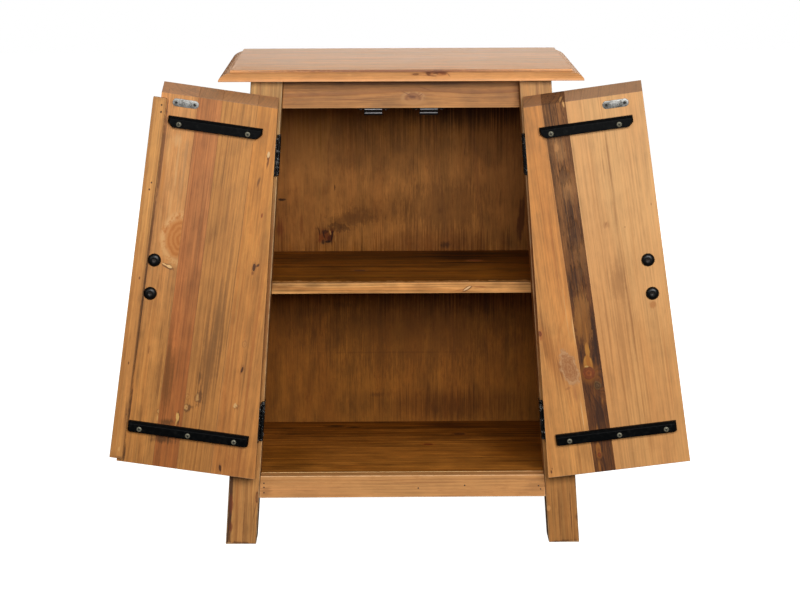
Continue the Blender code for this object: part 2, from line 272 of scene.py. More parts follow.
def make_stain_and_painted_light():
    """One soft-edged mark laid over a colour."""
    g, t, i, out = new_group("stain_and_painted_light", SPOT + ["Streak", "Soft", "Rag", "Face", "Amount", "C_In", "C_Mark"], ["C_Out", "Mask"])
    x, y = elliptic(t, i)
    e = t.m("SQRT", x * x + y * y) + i["Wob"] * i["Rag"] + (i["Streak"] - 0.5) * (i["Soft"] * 2.2)
    mask = (1.0 - t.ramp(e, 1.0 - i["Soft"], 1.0)) * i["Face"]
    t.feed(out["C_Out"], t.mix(mask * i["Amount"], i["C_In"], i["C_Mark"]))
    t.feed(out["Mask"], mask)
    return g


def make_flow():
    """Elliptic distance to a knot and the way the rings swell around it."""
    g, t, i, out = new_group("knot_flow", SPOT + ["Swell", "Rag"], ["E", "Flow"])
    x, y = elliptic(t, i)
    t.feed(out["E"], t.m("SQRT", x * x + y * y) + i["Wob"] * i["Rag"])
    t.feed(out["Flow"], t.m("EXPONENT", 0.0 - (x * x * 0.25 + y * y * 0.08)) * i["Swell"])
    return g


def make_knot():
    """Knot disc with its own rings, a rim and a halo, laid over a colour."""
    g, t, i, out = new_group("knot_paint", ["E", "Wob", "Rate", "RingAmt", "RimAmt", "HaloAmt", "Amount", "Face", "C_In", "C_Core", "C_Ring", "C_Rim", "C_Halo"],
                             ["C_Out", "Disc"])
    e = i["E"]
    wave = t.m("MULTIPLY_ADD", t.m("SINE", e * i["Rate"] + i["Wob"] * 6.0), 0.5, 0.5)
    c = t.mix(wave * i["RingAmt"], i["C_Core"], i["C_Ring"])
    rim = t.ramp(e, 0.62, 0.84) * t.ramp(i["Wob"], -0.22, 0.06)
    c = t.mix(rim * i["RimAmt"], c, i["C_Rim"])
    disc = (1.0 - t.ramp(e, 0.9, 1.1)) * i["Face"]
    halo = (1.0 - t.ramp(e, 0.9, 2.2)) * i["Face"]
    base = t.mix(halo * i["HaloAmt"], i["C_In"], i["C_Halo"])
    t.feed(out["C_Out"], t.mix(disc * i["Amount"], base, c))
    t.feed(out["Disc"], disc)
    return g


def make_edge():
    """Distance to the nearest arris: the middle one of the distances to the box sides."""
    g, t, i, out = new_group("arris", ["A", "D", "G", "AL", "ALG", "AH", "AHG", "DL", "DH", "GL", "GH"], ["Mid"])
    ea = t.m("MINIMUM", i["A"] - i["G"] * i["ALG"] - i["AL"], i["G"] * i["AHG"] + i["AH"] - i["A"])
    ed = t.m("MINIMUM", i["D"] - i["DL"], i["DH"] - i["D"])
    eg = t.m("MINIMUM", i["G"] - i["GL"], i["GH"] - i["G"])
    lo, hi = t.m("MINIMUM", ea, ed), t.m("MAXIMUM", ea, ed)
    t.feed(out["Mid"], t.m("MAXIMUM", lo, t.m("MINIMUM", hi, eg)))
    return g


GRAIN, STAIN_AND_PAINTED_LIGHT, FLOW, KNOT, ARRIS = make_grain(), make_stain_and_painted_light(), make_flow(), make_knot(), make_edge()


# ------------------------------------------------------------------ wood
def board_axes(origin, a, d, g):
    """Board frame: origin in mm in the rest frame, unit axes."""
    return Vector(origin), Vector(a), Vector(d), Vector(g)


def door_axes(s):
    r = TURN[s].to_3x3()
    o = TURN[s] @ Vector((0, 0, 0))
    return o, r @ Vector((1, 0, 0)), r @ Vector((0, 1, 0)), r @ Vector((0, 0, 1))


# core, ring, rim, halo colours; amount, ring rate, ring, rim and halo strengths
KNOTS = {
    "dark": ((70, 38, 20), (112, 64, 34), (38, 20, 10), (140, 86, 46), 0.92, 11.0, 0.5, 0.7, 0.5),
    "red": ((132, 62, 30), (104, 46, 24), (84, 36, 18), (172, 100, 52), 0.88, 13.0, 0.5, 0.6, 0.5),
    "brown": ((124, 74, 38), (150, 92, 50), (80, 44, 22), (166, 106, 58), 0.8, 13.0, 0.5, 0.6, 0.45),
    "pale": ((234, 190, 138), (190, 130, 76), (96, 54, 28), (186, 122, 66), 0.84, 9.0, 0.55, 0.9, 0.45),
    "ringed": ((244, 206, 156), (146, 90, 46), (112, 66, 34), (198, 138, 80), 0.9, 8.6, 0.9, 0.7, 0.35),
    "ghost": ((206, 148, 90), (176, 116, 64), (150, 96, 52), (200, 140, 84), 0.6, 10.0, 0.7, 0.5, 0.2),
    "swirl": ((158, 100, 62), (190, 138, 98), (216, 170, 128), (176, 112, 62), 0.8, 24.0, 0.65, 0.55, 0.35),
    "figure": ((172, 116, 70), (140, 90, 52), (204, 156, 106), (176, 120, 74), 0.85, 14.0, 0.8, 0.7, 0.15),
    "eye": ((186, 106, 50), (136, 68, 30), (124, 64, 28), (206, 138, 66), 0.95, 13.0, 0.7, 0.7, 0.5),
    "grey": ((92, 70, 48), (132, 106, 76), (146, 118, 86), (92, 62, 38), 0.75, 9.0, 0.8, 0.8, 0.2),
    "oval": ((192, 116, 52), (214, 146, 82), (236, 190, 138), (200, 140, 84), 0.85, 30.0, 0.7, 0.7, 0.1),
}


def wood(name, axes, seed, early, late, ring=4.2, pith=(0.0, -70.0), tilt=(0.0, 0.0), contrast=0.5,
         fibre=0.16, streak=0.30, broad=0.22, tone=0.18, tint=None, tint_amt=0.0, band=None, band_amt=0.0, wander=9.0, knots=(), marks=(),
         ends=(), end_tint=(168, 128, 98), end_amt=0.7, box=None, wear=0.35, wear_tint=(226, 178, 128),
         grime=0.0, rough=0.52, relief=0.25, planks=None, dent=0.0, flakes=0.0, gain=((1.0, 1.0, 1.0), (1.0, 1.0, 1.0), 0.0, 1.0), inner=False, painted_highlights_and_late_marks=(),
         painted_shade_and_tone=(), fronts=(), spec=0.42, vary=1.0, pores=0.24, flecks=0.22, clouds=0.26):
    """Old pine: growth rings about a pith line, fibres, streaks, knots, stains, worn edges, washes of painted shade and
    some painted highlights.
    """
    n = Mat(name)
    o, A, D, G = axes
    a0 = n.along(A, -o.dot(A))
    d0 = n.along(D, -o.dot(D))
    g0 = n.along(G, -o.dot(G))
    a, g = a0, g0
    joint = None
    if planks:
        width, off = planks
        t = n.m("MULTIPLY_ADD", a0, 1.0 / width, off)
        pid = n.m("FLOOR", t)
        fr = n.m("FRACT", t)
        joint = 1.0 - n.ramp(n.m("MINIMUM", fr, 1.0 - fr) * width, 0.15, 0.75)
        pr = n.white(pid + seed * 17.31)
        g = g0 + pr * 900.0
        a = a0 + n.white(pid + (seed * 17.31 + 5.5)) * 130.0
    face = 1.0
    if inner == "near":
        face = 1.0 - n.ramp(d0, 295.4, 297.4)
    elif inner:
        face = n.ramp(d0, 10.0, 12.0)

    def spot(kn):
        ang = math.radians(kn[3])
        return dict(A=a0, G=g0, CA=kn[0][0], CG=kn[0][1], IA=1.0 / kn[1], IG=1.0 / kn[2], Cos=math.cos(ang), Sin=math.sin(ang))

    # knots bend the rings before the rings are drawn
    wob_src = n.use(GRAIN, A=a0, D=d0, G=g0, Seed=float(seed) + 0.5, Ring=5.0)["Wob"] if knots else None
    spots, flow = [], None
    for kn in knots:
        f_ = n.use(FLOW, Wob=wob_src, Swell=kn[2] * (1.5 if kn[4] not in ("ghost", "oval", "figure") else 0.3), Rag={"oval": 0.06, "swirl": 0.85, "eye": 0.3, "figure": 0.3, "ringed": 1.0, "pale": 1.0}.get(kn[4], 0.7),
                   **spot(((kn[0], kn[1]), kn[2], kn[3], kn[5] if len(kn) > 5 else 0.0)))
        spots.append((kn[4], f_["E"]))
        flow = Val(n, f_["Flow"]) if flow is None else flow + Val(n, f_["Flow"])
    w = n.use(GRAIN, A=a, D=d0, G=g, Seed=float(seed), Ring=ring, PithA=pith[0], PithD=pith[1], TiltA=tilt[0], TiltD=tilt[1],
              Wander=wander, Flow=flow if flow is not None else 0.0)
    lw, fib, stk, brd, ton, blo, wob, pore, chew, flk = (Val(n, w[key]) for key in (
        "Late", "Fibre", "Streak", "Broad", "Tone", "Blotch", "Wob", "Pore", "Chew", "Flake"))

    c = n.mix(lw * contrast, lin(early), lin(late))
    if tint is not None:
        c = n.mix(n.ramp(ton, 0.40, 0.66) * tint_amt, c, lin(tint))
    if band is not None:
        c = n.mix(n.ramp(brd, 0.50, 0.70) * band_amt, c, lin(band))
    k_ = 1.3 * vary
    light = n.m("MULTIPLY_ADD", fib - 0.5, fibre * 2.0 * k_, 1.0) + (stk - 0.5) * (streak * 2.0 * k_)
    light = light + (brd - 0.5) * (broad * 2.0 * k_) + (ton - 0.5) * (tone * 1.6 * k_) + (blo - 0.5) * (tone * 2.2 * k_) + (chew - 0.5) * (0.30 * k_)
    if planks:
        light = light + (pr - 0.5) * 0.16
    c = n.scale(c, light)
    # thin dark resin lines along the grain
    c = n.mix(n.ramp(pore, 0.58, 0.74) * pores, c, lin((late[0] * 0.72, late[1] * 0.63, late[2] * 0.52)))
    # short flecks, and clouds where the old finish sank in
    c = n.mix(n.ramp(flk, 0.57, 0.73) * flecks, c, lin((late[0] * 0.72, late[1] * 0.62, late[2] * 0.50)))
    c = n.mix(n.ramp(chew + (stk - 0.5) * 0.6, 0.54, 0.74) * clouds, c, lin((late[0] * 0.84, late[1] * 0.76, late[2] * 0.66)))
    if flakes:
        c = n.mix(n.ramp(flk, 0.57, 0.70) * flakes, c, lin((184, 130, 82)))
        c = n.mix((1.0 - n.ramp(flk, 0.34, 0.46)) * (flakes * 1.2), c, lin((50, 28, 16)))
    height = lw * 0.35 + fib * 0.45 + stk * 0.3
    gloss = fib * 0.12 - lw * 0.05

    # stains, streaks and scrapes; among them a few painted shadow lines and painted highlights
    def stain_and_painted_light(c, mk):
        soft = mk[7] if len(mk) > 7 else 0.75
        s_ = n.use(STAIN_AND_PAINTED_LIGHT, Wob=(flk - 0.5) if len(mk) > 9 else wob, Streak=stk, Soft=soft, Rag=mk[8] if len(mk) > 8 else 0.55 if soft > 0.3 else 0.3, Face=face, Amount=mk[5], C_In=c, C_Mark=lin(mk[4]),
                   **spot(((mk[0], mk[1]), mk[2], mk[3], mk[6] if len(mk) > 6 else 0.0)))
        return s_["C_Out"], Val(n, s_["Mask"]), soft <= 0.3 and sum(mk[4]) < 240

    for mk in marks:
        c, mask, hole = stain_and_painted_light(c, mk)
        if hole:
            height = height - mask * 0.8

    # broad multiplied darkening that lets the grain show through: mostly painted shade, such as shadows inside the case
    # and under the top, with some plain tone
    for sh in painted_shade_and_tone:
        s_ = n.use(STAIN_AND_PAINTED_LIGHT, Wob=wob, Streak=stk, Soft=sh[7] if len(sh) > 7 else 0.8, Rag=0.2, Face=face, Amount=sh[5], C_In=(1.0, 1.0, 1.0, 1.0), C_Mark=tuple(sh[4]) + (1.0,),
                   **spot(((sh[0], sh[1]), sh[2], sh[3], sh[6] if len(sh) > 6 else 0.0)))
        c = n.mix(1.0, c, s_["C_Out"], "MULTIPLY")
    # marks laid out along the edge: g, d and their radii
    for mk in fronts:
        ang = math.radians(mk[6])
        s_ = n.use(STAIN_AND_PAINTED_LIGHT, A=g0, G=d0, CA=mk[0], CG=mk[1], IA=1.0 / mk[2], IG=1.0 / mk[3], Cos=math.cos(ang), Sin=math.sin(ang), Wob=wob, Streak=stk,
                   Soft=mk[7], Rag=0.5, Face=1.0 - n.ramp(a0, mk[8] + 1.0, mk[8] + 3.0), Amount=mk[5], C_In=c, C_Mark=lin(mk[4]))
        c = s_["C_Out"]

    for kind, e in spots:
        core, rcol, rim, halo, amt, rate, ramt, rima, hamt = KNOTS[kind]
        k_ = n.use(KNOT, E=e, Wob=wob, Rate=rate, RingAmt=ramt, RimAmt=rima, HaloAmt=hamt, Amount=amt, Face=face, C_In=c,
                   C_Core=lin(core), C_Ring=lin(rcol), C_Rim=lin(rim), C_Halo=lin(halo))
        c = k_["C_Out"]
        height = height + Val(n, k_["Disc"]) * 0.25
        gloss = gloss - Val(n, k_["Disc"]) * 0.08
    # marks laid after the knots: painted highlights on knots, and marks that trim a knot's outline
    for mk in painted_highlights_and_late_marks:
        c, mask, hole = stain_and_painted_light(c, mk)

    # end grain
    endf = None
    for axis_name, at, slope in ends:
        dist = {"a": a0, "d": d0, "g": g0}[axis_name] - at
        if slope:
            dist = dist - d0 * slope
        f_ = 1.0 - n.ramp(n.m("ABSOLUTE", dist), 0.35, 0.9)
        endf = f_ if endf is None else n.m("MAXIMUM", endf, f_)
    if endf is not None:
        dim = n.mix(1.0, c, lin([min(255, v * 1.25) for v in end_tint]), "MULTIPLY")
        c = n.mix(endf * end_amt, c, n.mix(0.55, dim, lin(end_tint)))
        c = n.mix(endf * lw * 0.2, c, lin([v * 0.66 for v in end_tint]))
        height = height + endf * chew * 0.6

    # worn and grimy edges
    if box is not None:
        (al, al_g), (ah, ah_g), dl, dh, gl, gh = box
        mid = Val(n, n.use(ARRIS, A=a0, D=d0, G=g0, AL=al, ALG=al_g, AH=ah, AHG=ah_g, DL=dl, DH=dh, GL=gl, GH=gh)["Mid"])
        if grime:
            c = n.mix((1.0 - n.ramp(mid + chew * 4.0, 2.0, 9.0)) * grime, c, lin((104, 64, 34)))
        worn = (1.0 - n.ramp(mid + chew * 3.0, 1.7, 3.2)) * wear
        c = n.mix(worn, c, lin(wear_tint))
        gloss = gloss + worn * 0.1
    if joint is not None:
        c = n.mix(joint * 0.5, c, lin((96, 60, 36)))
        height = height - joint * 0.6
    if dent:
        height = height - n.ramp(chew, 0.58, 0.74) * dent
        c = n.mix(n.ramp(chew, 0.60, 0.76) * (dent * 0.3), c, lin((96, 58, 32)))

    # colour trim blended from the foot to the head of the piece; the darker foot is painted shade
    lo_, hi_, foot, head = gain
    v_ = n.tree.nodes.new("ShaderNodeVectorMath")
    v_.operation = "MULTIPLY"
    n.feed(v_.inputs[0], c)
    if lo_ == hi_:
        v_.inputs[1].default_value = hi_
    else:
        n.feed(v_.inputs[1], n.mix(n.ramp(g0 + (blo - 0.5) * 120.0, foot, head, False), lo_ + (1.0,), hi_ + (1.0,)))
    n.feed(n.bsdf.inputs["Base Color"], v_.outputs[0])
    n.feed(n.bsdf.inputs["Roughness"], n.m("ADD", gloss + (blo - 0.5) * 0.14, rough))
    n.bsdf.inputs["Specular IOR Level"].default_value = spec
    n.bump(height, relief, 0.0009)
    return n.mat


# ------------------------------------------------------------------ metals and plastic
def metal(name, base, worn, rough, metallic, seed, wear=0.5, grain=2.0, spec=0.5, relief=0.12, rust=0.0, cut=(0.98, 1.2)):
    """Painted or plated metal: patchy sheen, scuffs, fine texture. On the hinges the bright scuffs are painted glints,
    and on the strike plates the light patches are partly painted reflection.
    """
    n = Mat(name)
    x, y, z = (n.along(v, seed * 3.7) for v in ((1, 0, 0), (0, 1, 0), (0, 0, 1)))

    def nz(s, shift, detail=2.0, r_=0.5):
        return n.noise(n.vec(x * (1.0 / s) + shift, y * (1.0 / s) - shift, z * (1.0 / s) + shift), detail, r_)

    fine, mid, big = nz(grain * 0.35, 1.0, 3.0, 0.6), nz(grain * 2.5, 2.0), nz(grain * 11.0, 3.0)
    c = n.scale(lin(base), n.m("MULTIPLY_ADD", mid, 0.5, 0.75) + (big - 0.5) * 0.35)
    scuff_and_glint = n.ramp(fine + mid * 0.6, *cut) * wear
    c = n.mix(scuff_and_glint, c, lin(worn))
    if rust:
        c = n.mix(n.ramp(big * 0.6 + mid * 0.6, 0.66, 0.8) * rust, c, lin((92, 62, 40)))
    n.feed(n.bsdf.inputs["Base Color"], c)
    n.feed(n.bsdf.inputs["Roughness"], n.m("MULTIPLY_ADD", mid, 0.22, rough - 0.11) + scuff_and_glint * 0.1)
    n.bsdf.inputs["Metallic"].default_value = metallic
    n.bsdf.inputs["Specular IOR Level"].default_value = spec
    n.bump(fine * 0.5 + mid * 0.5, relief, 0.0004)
    return n.mat


IRON = metal("iron_paint", (2, 3, 4), (60, 60, 58), 0.46, 0.0, 1.0, wear=0.22, spec=0.07, relief=0.12, cut=(0.90, 1.0))
# hinge: the near-white scuffs stand in for the knuckles' glints, painted highlights
IRON_HINGE = metal("iron_hinge", (7, 7, 8), (232, 230, 224), 0.26, 0.0, 11.0, wear=0.95, grain=2.0, spec=0.7, cut=(0.965, 1.02))
IRON_EDGE = metal("iron_bare", (70, 68, 66), (150, 146, 140), 0.38, 1.0, 2.0, wear=0.6)
ZINC = metal("zinc_bright", (168, 172, 178), (120, 122, 126), 0.36, 0.55, 3.0, wear=0.4, relief=0.08)
# strike plate: light and dark patches, partly plating wear and partly painted reflection
PLATE = metal("zinc_plate", (94, 92, 87), (186, 186, 182), 0.36, 0.45, 3.5, wear=0.7, grain=4.5, relief=0.06, cut=(0.58, 1.02))
# pole plates: a pale diffuse colour stands in for the steel's reflection, a painted highlight
POLE = metal("pole_steel", (204, 202, 204), (140, 136, 138), 0.34, 0.1, 13.0, wear=0.4, relief=0.06)
SCREW = metal("screw_zinc", (124, 120, 102), (84, 80, 68), 0.5, 0.35, 4.0, wear=0.5, relief=0.08, rust=0.2)
HOLE = metal("recess_dark", (48, 46, 42), (80, 78, 74), 0.6, 0.3, 4.5, wear=0.3)
CATCH = metal("catch_plastic", (16, 10, 9), (40, 28, 24), 0.5, 0.0, 5.0, wear=0.3, grain=1.2, spec=0.12)
NAIL = metal("nail_steel", (78, 62, 52), (120, 110, 100), 0.5, 0.6, 6.0, wear=0.4, rust=0.5)
BOLT = metal("bolt_black", (7, 7, 7), (50, 48, 46), 0.34, 0.0, 7.0, wear=0.2, spec=0.3)
SOCKET = metal("bolt_socket", (52, 46, 42), (110, 104, 96), 0.5, 0.2, 8.0, wear=0.5)
GLUE = metal("glue_line", (156, 102, 58), (110, 68, 36), 0.7, 0.0, 9.0, wear=0.5)


# ------------------------------------------------------------------ finishes on the CAD pieces
def dress(node, mat, bevel=None, seg=2, angle=30.0):
    ob = NODES[node]
    ob.data.materials.clear()
    ob.data.materials.append(mat)
    if bevel:
        w = ob.modifiers.new("weld", "WELD")
        w.merge_threshold = 0.00002
        b = ob.modifiers.new("edge", "BEVEL")
        b.width, b.segments, b.limit_method = bevel * 0.001, seg, "ANGLE"
        b.angle_limit = math.radians(angle)
        b.harden_normals = False
        wn = ob.modifiers.new("normals", "WEIGHTED_NORMAL")
        wn.keep_sharp = False
        for p in ob.data.polygons:
            p.use_smooth = True
    return ob


# colour trims, linear: at the foot and the head of the piece; the darker foot is painted shade for the light falling
# off lower down
GAIN = {
    "l1": ((0.802, 0.698, 0.424), (0.970, 0.921, 0.788)), "l2": ((0.774, 0.651, 0.326), (0.960, 0.940, 0.693)),
    "l3": ((0.863, 0.752, 0.508), (1.040, 0.960, 0.736)), "l4": ((0.823, 0.749, 0.598), (0.902, 0.862, 0.660)),
    "strip": ((0.966, 0.869, 0.626), (1.113, 1.060, 0.828)), "r1": ((0.909, 0.800, 0.639), (0.969, 0.938, 0.870)),
    "r2": ((0.54, 0.41, 0.19), (0.90, 0.88, 0.76)), "r3": ((0.928, 0.936, 0.845), (0.871, 0.787, 0.618)),
    "top": ((1.040, 0.968, 0.874), (1.040, 0.968, 0.874)), "top_rail": ((0.861, 0.787, 0.593), (0.861, 0.787, 0.593)),
    "bottom_rail": ((1.081, 1.030, 0.989), (1.081, 1.030, 0.989)), "leg_left": ((1.000, 0.920, 0.768), (0.980, 1.070, 1.050)),
    "leg_right": ((0.958, 0.845, 0.620), (1.050, 1.060, 1.019)), "back": ((0.546, 0.464, 0.196), (0.745, 0.714, 0.540)),
    "side": ((0.80, 0.72, 0.55), (0.90, 0.84, 0.70)), "floor": ((1.026, 0.880, 0.450), (1.026, 0.880, 0.450)),
    "shelf": ((1.133, 1.222, 1.387), (1.133, 1.222, 1.387)),
}


def gain(key, foot=255.0, head=505.0):
    lo_, hi_ = GAIN.get(key, ((1.0, 1.0, 1.0), (1.0, 1.0, 1.0)))
    return lo_, hi_, foot, head


# legs
for tag, s in (("left", -1), ("right", 1)):
    for row, yc, sd in (("front", 22.0, 11 + s), ("rear", 278.0, 15 + s)):
        ax = board_axes((s * (A_BOT - 22.0), YF + yc, 0.0), (CL, 0, s * SL), (0, 1, 0), (-s * SL, 0, CL))
        kn, mk = [], []
        if row == "front" and s < 0:
            kn = [(20.0, 72.0, 3.0, 8.0, "brown")]
            mk = [(-20.0, 60.0, 5.0, 90.0, (78, 45, 23), 0.85, 0, 0.5), (21.6, 50.0, 1.7, 84.0, (96, 58, 30), 0.7, 0, 0.5), (0.0, 1.0, 24.0, 4.0, (84, 50, 26), 0.75, 0, 0.7), (-18.0, 60.0, 4.4, 16.0, (132, 66, 34), 0.8, 4, 0.6), (-16.0, 25.0, 3.8, 9.0, (124, 64, 34), 0.75, 0, 0.6), (17.0, 52.0, 1.1, 26.0, (112, 68, 36), 0.7, -8), (2.0, 30.0, 1.6, 60.0, (120, 74, 38), 0.6),
                  (-6.0, 620.0, 3.0, 60.0, (150, 104, 62), 0.4)]
        elif row == "front":
            mk = [(-21.4, 50.0, 1.5, 84.0, (120, 74, 38), 0.5, 0, 0.5), (21.4, 50.0, 1.7, 84.0, (84, 50, 26), 0.7, 0, 0.5), (0.0, 1.0, 24.0, 4.0, (84, 50, 26), 0.7, 0, 0.7), (12.5, 48.0, 1.2, 62.0, (100, 60, 30), 0.8, 0, 0.6), (-19.0, 53.0, 3.2, 5.0, (214, 160, 108), 0.8, 0, 0.3), (-4.0, 40.0, 1.6, 70.0, (124, 78, 40), 0.6),
                  (20.0, 36.0, 3.0, 9.0, (96, 54, 28), 0.7)]
        m = wood("pine_leg_%s_%s" % (row, tag), ax, sd, (200, 146, 86), (150, 94, 46), ring=5.0,
                 pith=(s * 40.0, -60.0 if row == "front" else 60.0), contrast=0.6, streak=0.42, broad=0.3, tone=0.24,
                 tint=(166, 116, 66), tint_amt=0.5, band=(138, 90, 46), band_amt=0.4, knots=kn, marks=mk,
                 # front legs: darker at mid-height, and the left leg also along its outer edge low down
                 painted_shade_and_tone=([(0.0, 380.0, 70.0, 250.0, (0.68, 0.53, 0.38) if s < 0 else (0.68, 0.46, 0.22), 1.0, 0, 0.7)] + ([(-22.0, 40.0, 6.5, 70.0, (0.62, 0.62, 0.70), 1.0, 0, 0.5)] if s < 0 else [])) if row == "front" else [], ends=[("g", 0.0, 0.0), ("g", 667.3, 0.0)],
                 box=((-22.0 + (18.0 if row == "rear" and s > 0 else 0.0), 0.0), (22.0 - (18.0 if row == "rear" and s < 0 else 0.0), 0.0), -22.0, 22.0, 0.0, 668.0), wear=0.5, wear_tint=(238, 202, 158), grime=0.12, gain=gain("leg_" + tag, 60.0, 620.0))
        dress("leg_%s_%s" % (row, tag), m, 1.2)

# rails
rail_axes = board_axes((0, YF, 0), (0, 0, 1), (0, 1, 0), (1, 0, 0))
m = wood("pine_top_rail", rail_axes, 21, (196, 142, 90), (150, 96, 52), ring=5.0, pith=(700.0, -30.0), tilt=(0.03, 0.0),
         contrast=0.75, streak=0.42, broad=0.3, tint=(160, 110, 66), tint_amt=0.55, wander=10.0, tone=0.36, vary=1.1,
         knots=[(639.3, 16.4, 9.6, 17.0, "figure")],
         painted_highlights_and_late_marks=[(641.4, 15.6, 2.3, 9.0, (112, 64, 38), 0.85, 0, 0.6, 0.5), (633.6, 16.0, 4.6, 26.0, (196, 142, 90), 0.85, 0, 0.5), (645.6, 8.0, 0.8, 9.0, (120, 70, 42), 0.7, 24, 0.5), (643.4, 27.0, 0.8, 6.0, (126, 74, 44), 0.7, -34, 0.5)],
         # painted shadow under the top board along the rail's top edge, and painted shade at both ends beside the legs
         painted_shade_and_tone=[(668.0, 0.0, 12.0, 400.0, (0.50, 0.44, 0.36), 1.0, 0, 0.6), (648.0, -171.0, 60.0, 7.0, (0.55, 0.48, 0.40), 1.0, 0, 0.6), (648.0, 169.0, 60.0, 8.0, (0.50, 0.42, 0.34), 1.0, 0, 0.6)],
         marks=[(652.0, 34.0, 1.6, 16.0, (150, 92, 54), 0.6, 16), (637.0, -58.0, 1.0, 48.0, (140, 88, 52), 0.6, 1.5),
                (648.0, -127.0, 2.0, 22.0, (150, 100, 58), 0.5, 10)],
         box=((625.7, 0.0), (667.2, 0.0), 25.0, 43.0, -170.0, 170.0), wear=0.2, gain=gain("top_rail"))
dress("top_front_rail", m, 1.0)
m = wood("pine_bottom_rail", rail_axes, 22, (204, 148, 88), (166, 108, 56), ring=4.2, pith=(30.0, -40.0), tilt=(0.004, 0.0),
         contrast=0.5, streak=0.3, tint=(190, 130, 78), tint_amt=0.5, wander=8.0,
         marks=[(84.0, 190.0, 12.0, 22.0, (150, 104, 60), 0.45), (78.0, -196.0, 10.0, 12.0, (136, 90, 50), 0.5), (90.0, 40.0, 1.4, 90.0, (160, 104, 56), 0.5)],
         box=((68.0, 0.0), (100.6, 0.0), 3.0, 21.0, -205.0, 205.0), wear=0.85, wear_tint=(236, 190, 140), gain=gain("bottom_rail"), vary=0.75)
dress("bottom_front_rail", m, 1.0)
m = wood("pine_rear_rail", rail_axes, 23, (198, 144, 88), (156, 100, 54), pith=(560.0, 330.0), tint=(170, 118, 70), tint_amt=0.4,
         knots=[(648.0, -70.0, 5.0, 8.0, "dark"), (640.0, 92.0, 4.0, 6.0, "red")],
         box=((625.7, 0.0), (667.2, 0.0), 275.1, 293.1, -184.0, 184.0))
dress("top_rear_rail", m, 1.0)

# side panels: upright boards
for tag, s in (("left", -1), ("right", 1)):
    ax = board_axes((s * (half_in(0.0) + 18.0), YF, 0.0), (0, 1, 0), (CL * s, 0, SL), (-s * SL, 0, CL))
    kn = [(96.0, 300.0, 6.0, 10.0, "dark"), (170.0, 520.0, 5.0, 8.0, "red"), (208.0, 180.0, 5.0, 8.0, "dark"),
          (232.0, 420.0, 8.0, 22.0, "red"), (120.0, 590.0, 4.0, 7.0, "brown"), (70.0, 460.0, 5.0, 8.0, "brown")]
    if s > 0:
        kn = [(92.0, 440.0, 6.0, 11.0, "dark"), (150.0, 200.0, 6.0, 10.0, "red"), (214.0, 560.0, 5.0, 8.0, "dark"),
              (60.0, 610.0, 4.0, 6.0, "brown"), (188.0, 330.0, 5.0, 9.0, "brown")]
    mk = [] if s < 0 else [(238.0, 440.0, 18.0, 60.0, (112, 58, 34), 0.6)]
    m = wood("pine_side_%s" % tag, ax, 31 + s, (200, 142, 82), (156, 98, 50), ring=5.2, pith=(40.0, -55.0), tilt=(0.0, 0.02),
             contrast=0.55, tint=(170, 112, 62), tint_amt=0.5, planks=(70.7, 0.374), knots=kn, marks=mk,
             ends=[("g", 68.0, 0.0)], box=((44.3, 0.0), (255.7, 0.0), 0.0, 20.0, 68.0, 668.0), wear=0.2, gain=gain("side"))
    dress("side_panel_%s" % tag, m, 0.8)
    ax = board_axes((s * half_in(346.0), YF, 336.1), (0, 0, 1), (1, 0, 0), (0, 1, 0))
    m = wood("pine_cleat_%s" % tag, ax, 35 + s, (186, 130, 76), (146, 92, 48), pith=(-30.0, 20.0), tint=(150, 100, 56), tint_amt=0.4)
    dress("shelf_cleat_%s" % tag, m, 0.8)

